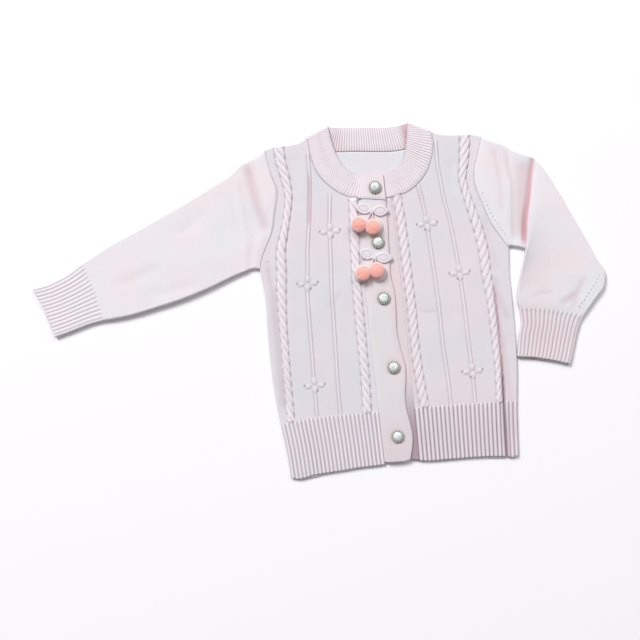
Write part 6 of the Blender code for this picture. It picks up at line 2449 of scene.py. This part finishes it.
    def pompom(self, name: str, centre: Point, seed: int, room: Workroom) -> None:
        """Makes one pompom: locks on a core, flatter than it is wide.

        Args:
            name: The solid that it stands for.
            centre: Its middle.
            seed: The seed of its locks' random places.
            room: The shared finishes and trees.
        """
        work = bmesh.new()
        bmesh.ops.create_icosphere(work, subdivisions=4, radius=self.core * MM)
        core = bpy.data.meshes.new("core")
        work.to_mesh(core)
        work.free()
        long = (self.reach - self.core) * MM
        ball = room.fluff.apply(placed(f"{name}_fluff", core), room.coral,
                                Density=self.density, Long=long, Thick=self.lock * MM, Seed=seed)
        base = SPRIG_Z + self.disc_thick + GAP
        for vertex in ball.data.vertices:
            x, y, z = vertex.co
            low = max(z, -self.core * MM)
            vertex.co = (centre.x * MM + x, centre.y * MM + y,
                         base * MM + (low + self.core * MM) * self.flat)
        dress(ball, "pompom", name)

    def build(self, room: Workroom) -> None:
        """Makes the six pieces.

        Args:
            room: The shared finishes and trees.
        """
        seeds = iter(self.seeds)
        for sprig in SPRIGS:
            self.sprig(sprig, room)
            for side in ("right", "left"):
                self.pompom(f"pompom_{sprig.name}_{side}", getattr(sprig, f"cherry_{side}"),
                            next(seeds), room)


@dataclass
class Sewing:
    """The rows of linking stitches at the seams, and the fashioning marks beside them.

    Each kind of stitch has its pitch, thickness and length, and each row its height.
    """

    neck: Stitch = Stitch(1.4, 1.8, 1.7)
    armhole: Stitch = Stitch(1.6, 1.6, 2.2)
    mark: Stitch = Stitch(4.5, 1.2, 2.8)
    neck_level: float = FRONT_Z + WALL + 0.4
    band_level: float = BAND_FACE + 0.3
    armhole_level: float = FRONT_Z + WALL + 0.25
    beyond_seam: float = 0.35
    neck_middle: Point = Point(0.0, 118.0)
    marks: tuple = (
        Mark("fashioning_left", ((119.0, 62), (124, 44), (132, 26), (142, 10)), 5.2, -0.7),
        Mark("fashioning_lower", ((240, -44), (228, -60), (214, -76)), 6.5, 0.5),
    )

    @staticmethod
    def row(name: str, line: np.ndarray, level: float, kind: Stitch, room: Workroom,
            tilt: float = 0.0) -> None:
        """Sets a row of stitches along a line.

        Args:
            name: The row's name.
            line: The line's points.
            level: Its height.
            kind: The sizes of its stitches.
            room: The shared finishes and trees.
            tilt: How far each stitch is turned out of the line, in radians.
        """
        points = np.column_stack([line, np.full(len(line), level)]) * MM
        mesh = bpy.data.meshes.new(name)
        mesh.from_pydata(points.tolist(), [(k, k + 1) for k in range(len(line) - 1)], [])
        row = room.row.apply(placed(name, mesh), room.knit, Pitch=kind.pitch * MM,
                             Thick=kind.thick * MM, Long=kind.long * MM, Tilt=tilt)
        dress(row, "knit")

    def outside(self, rows: tuple) -> np.ndarray:
        """Draws a line just outside the neckband's seam, away from the middle of the neck.

        Args:
            rows: One stretch of the neckband.

        Returns:
            The line's points.
        """
        line = resample(neck_seam(rows), 60)[1:-1]
        away = line - np.array(self.neck_middle)
        return line + self.beyond_seam * away / np.linalg.norm(away, axis=1, keepdims=True)

    def build(self, room: Workroom) -> None:
        """Makes the rows at the neck and the armholes, and the marks on the left sleeve.

        Args:
            room: The shared finishes and trees.
        """
        for name, rows in (("right", NECK_RIGHT[3:]), ("left", NECK_LEFT[:-3])):
            self.row(f"neck_seam_{name}", self.outside(rows), self.neck_level, self.neck, room)
        self.row("neck_seam_band", self.outside(NECK_RIGHT[:4])[:-8], self.band_level, self.neck,
                 room)
        for name, points in (("right", RIGHT_ARMHOLE), ("left", LEFT_ARMHOLE)):
            self.row(f"armhole_seam_{name}", resample(points, 60)[1:-1], self.armhole_level,
                     self.armhole, room)
        for mark in self.marks:
            self.row(mark.name, resample(mark.points, 30), mark.level, self.mark, room, mark.tilt)


@dataclass
class Studio:
    """A plain pale table, two soft boxes beyond the neck, and the camera straight above.

    Its sizes are in metres.
    """

    camera_at: tuple = (-0.0786, -0.0616, 1.009)
    turn: float = -6.0
    lens: float = 50.0
    sensor: float = 36.0
    table: str = "#FBF9FD"
    table_half: float = 4.0
    lamps: tuple = (
        Lamp("softbox_left", (-2.6, 4.6, 4.8), 2.4, 452.0),
        Lamp("softbox_right", (2.8, 4.0, 5.2), 4.0, 162.0),
    )
    aim: tuple = (-0.08, -0.06, 0.0)
    fill: tuple = (1.0, 0.985, 0.99, 1.0)
    fill_strength: float = 0.25

    def build(self) -> None:
        """Makes the table, the lights, their even fill and the camera."""
        scene = bpy.context.scene
        half = self.table_half
        corners = [(-half, -half, 0), (half, -half, 0), (half, half, 0), (-half, half, 0)]
        floor = bpy.data.meshes.new("floor")
        floor.from_pydata(corners, [], [(0, 1, 2, 3)])
        placed("floor", floor)
        matt, _, _ = new_material("paper_white_matt", {
            "Base Color": colour(self.table), "Roughness": 0.9, "Specular IOR Level": 0.1})
        floor.materials.append(matt)
        for lamp in self.lamps:
            self.light(lamp)
        world = bpy.data.worlds.new("room")
        world.use_nodes = True
        scene.world = world
        sky = world.node_tree.nodes["Background"]
        sky.inputs["Color"].default_value = self.fill
        sky.inputs["Strength"].default_value = self.fill_strength
        data = bpy.data.cameras.new("camera")
        data.lens = self.lens
        data.sensor_width = self.sensor
        camera = bpy.data.objects.new("camera", data)
        camera.location = self.camera_at
        camera.rotation_euler = (0.0, 0.0, math.radians(self.turn))
        scene.collection.objects.link(camera)
        scene.camera = camera
        scene.view_settings.view_transform = "Standard"

    def light(self, lamp: Lamp) -> None:
        """Adds a square soft light that looks at the middle of the garment.

        Args:
            lamp: The light's name, place, size and power.
        """
        data = bpy.data.lights.new(lamp.name, "AREA")
        data.size = lamp.size
        data.energy = lamp.power
        made = bpy.data.objects.new(lamp.name, data)
        made.location = lamp.at
        aim = Vector(self.aim) - Vector(lamp.at)
        made.rotation_mode = "QUATERNION"
        made.rotation_quaternion = aim.to_track_quat("-Z", "Y")
        bpy.context.scene.collection.objects.link(made)


def main() -> None:
    """Builds the garment's pieces in order, and reports each one."""
    logging.basicConfig(level=logging.INFO, format="%(name)s: %(message)s")
    room = Workroom.open()
    Studio().build()
    Back().build(room)
    Front("front_right", Side.RIGHT, RIGHT_COURSES, RIGHT_GIRTHS, NECK_RIGHT, RIGHT_ARMHOLE,
          RIGHT_SHOULDER, RIGHT_HEM, RIGHT_RIB_TOP, RIGHT_FLOWERS, RIGHT_FRONT_CREASES,
          rib_shade=1.35).build(room)
    Front("front_left", Side.LEFT, LEFT_COURSES, LEFT_GIRTHS, NECK_LEFT, LEFT_ARMHOLE,
          LEFT_SHOULDER, LEFT_HEM, LEFT_RIB_TOP, LEFT_FLOWERS, LEFT_FRONT_CREASES,
          rib_shade=1.85).build(room)
    TopBand().build(room)
    UnderBand().build(room)
    Neckband().build(room)
    Sleeve("sleeve_right", Side.RIGHT, SLEEVE_RIGHT, RIGHT_ARMHOLE, 11, ((0, 16),),
           RIGHT_SLEEVE_CREASES, flat=(0.27, 0.33), area=0.066, rib_shade=1.0).build(room)
    Sleeve("sleeve_left", Side.LEFT, SLEEVE_LEFT, LEFT_ARMHOLE, 17, ((0, 4), (12, 22)),
           LEFT_SLEEVE_CREASES, flat=(0.27, 0.33), area=0.037, rib_shade=2.3,
           overhang=(-0.9, -3.4)).build(room)
    ButtonSet().build(room)
    CherrySet().build(room)
    Sewing().build(room)


if __name__ == "__main__":
    main()
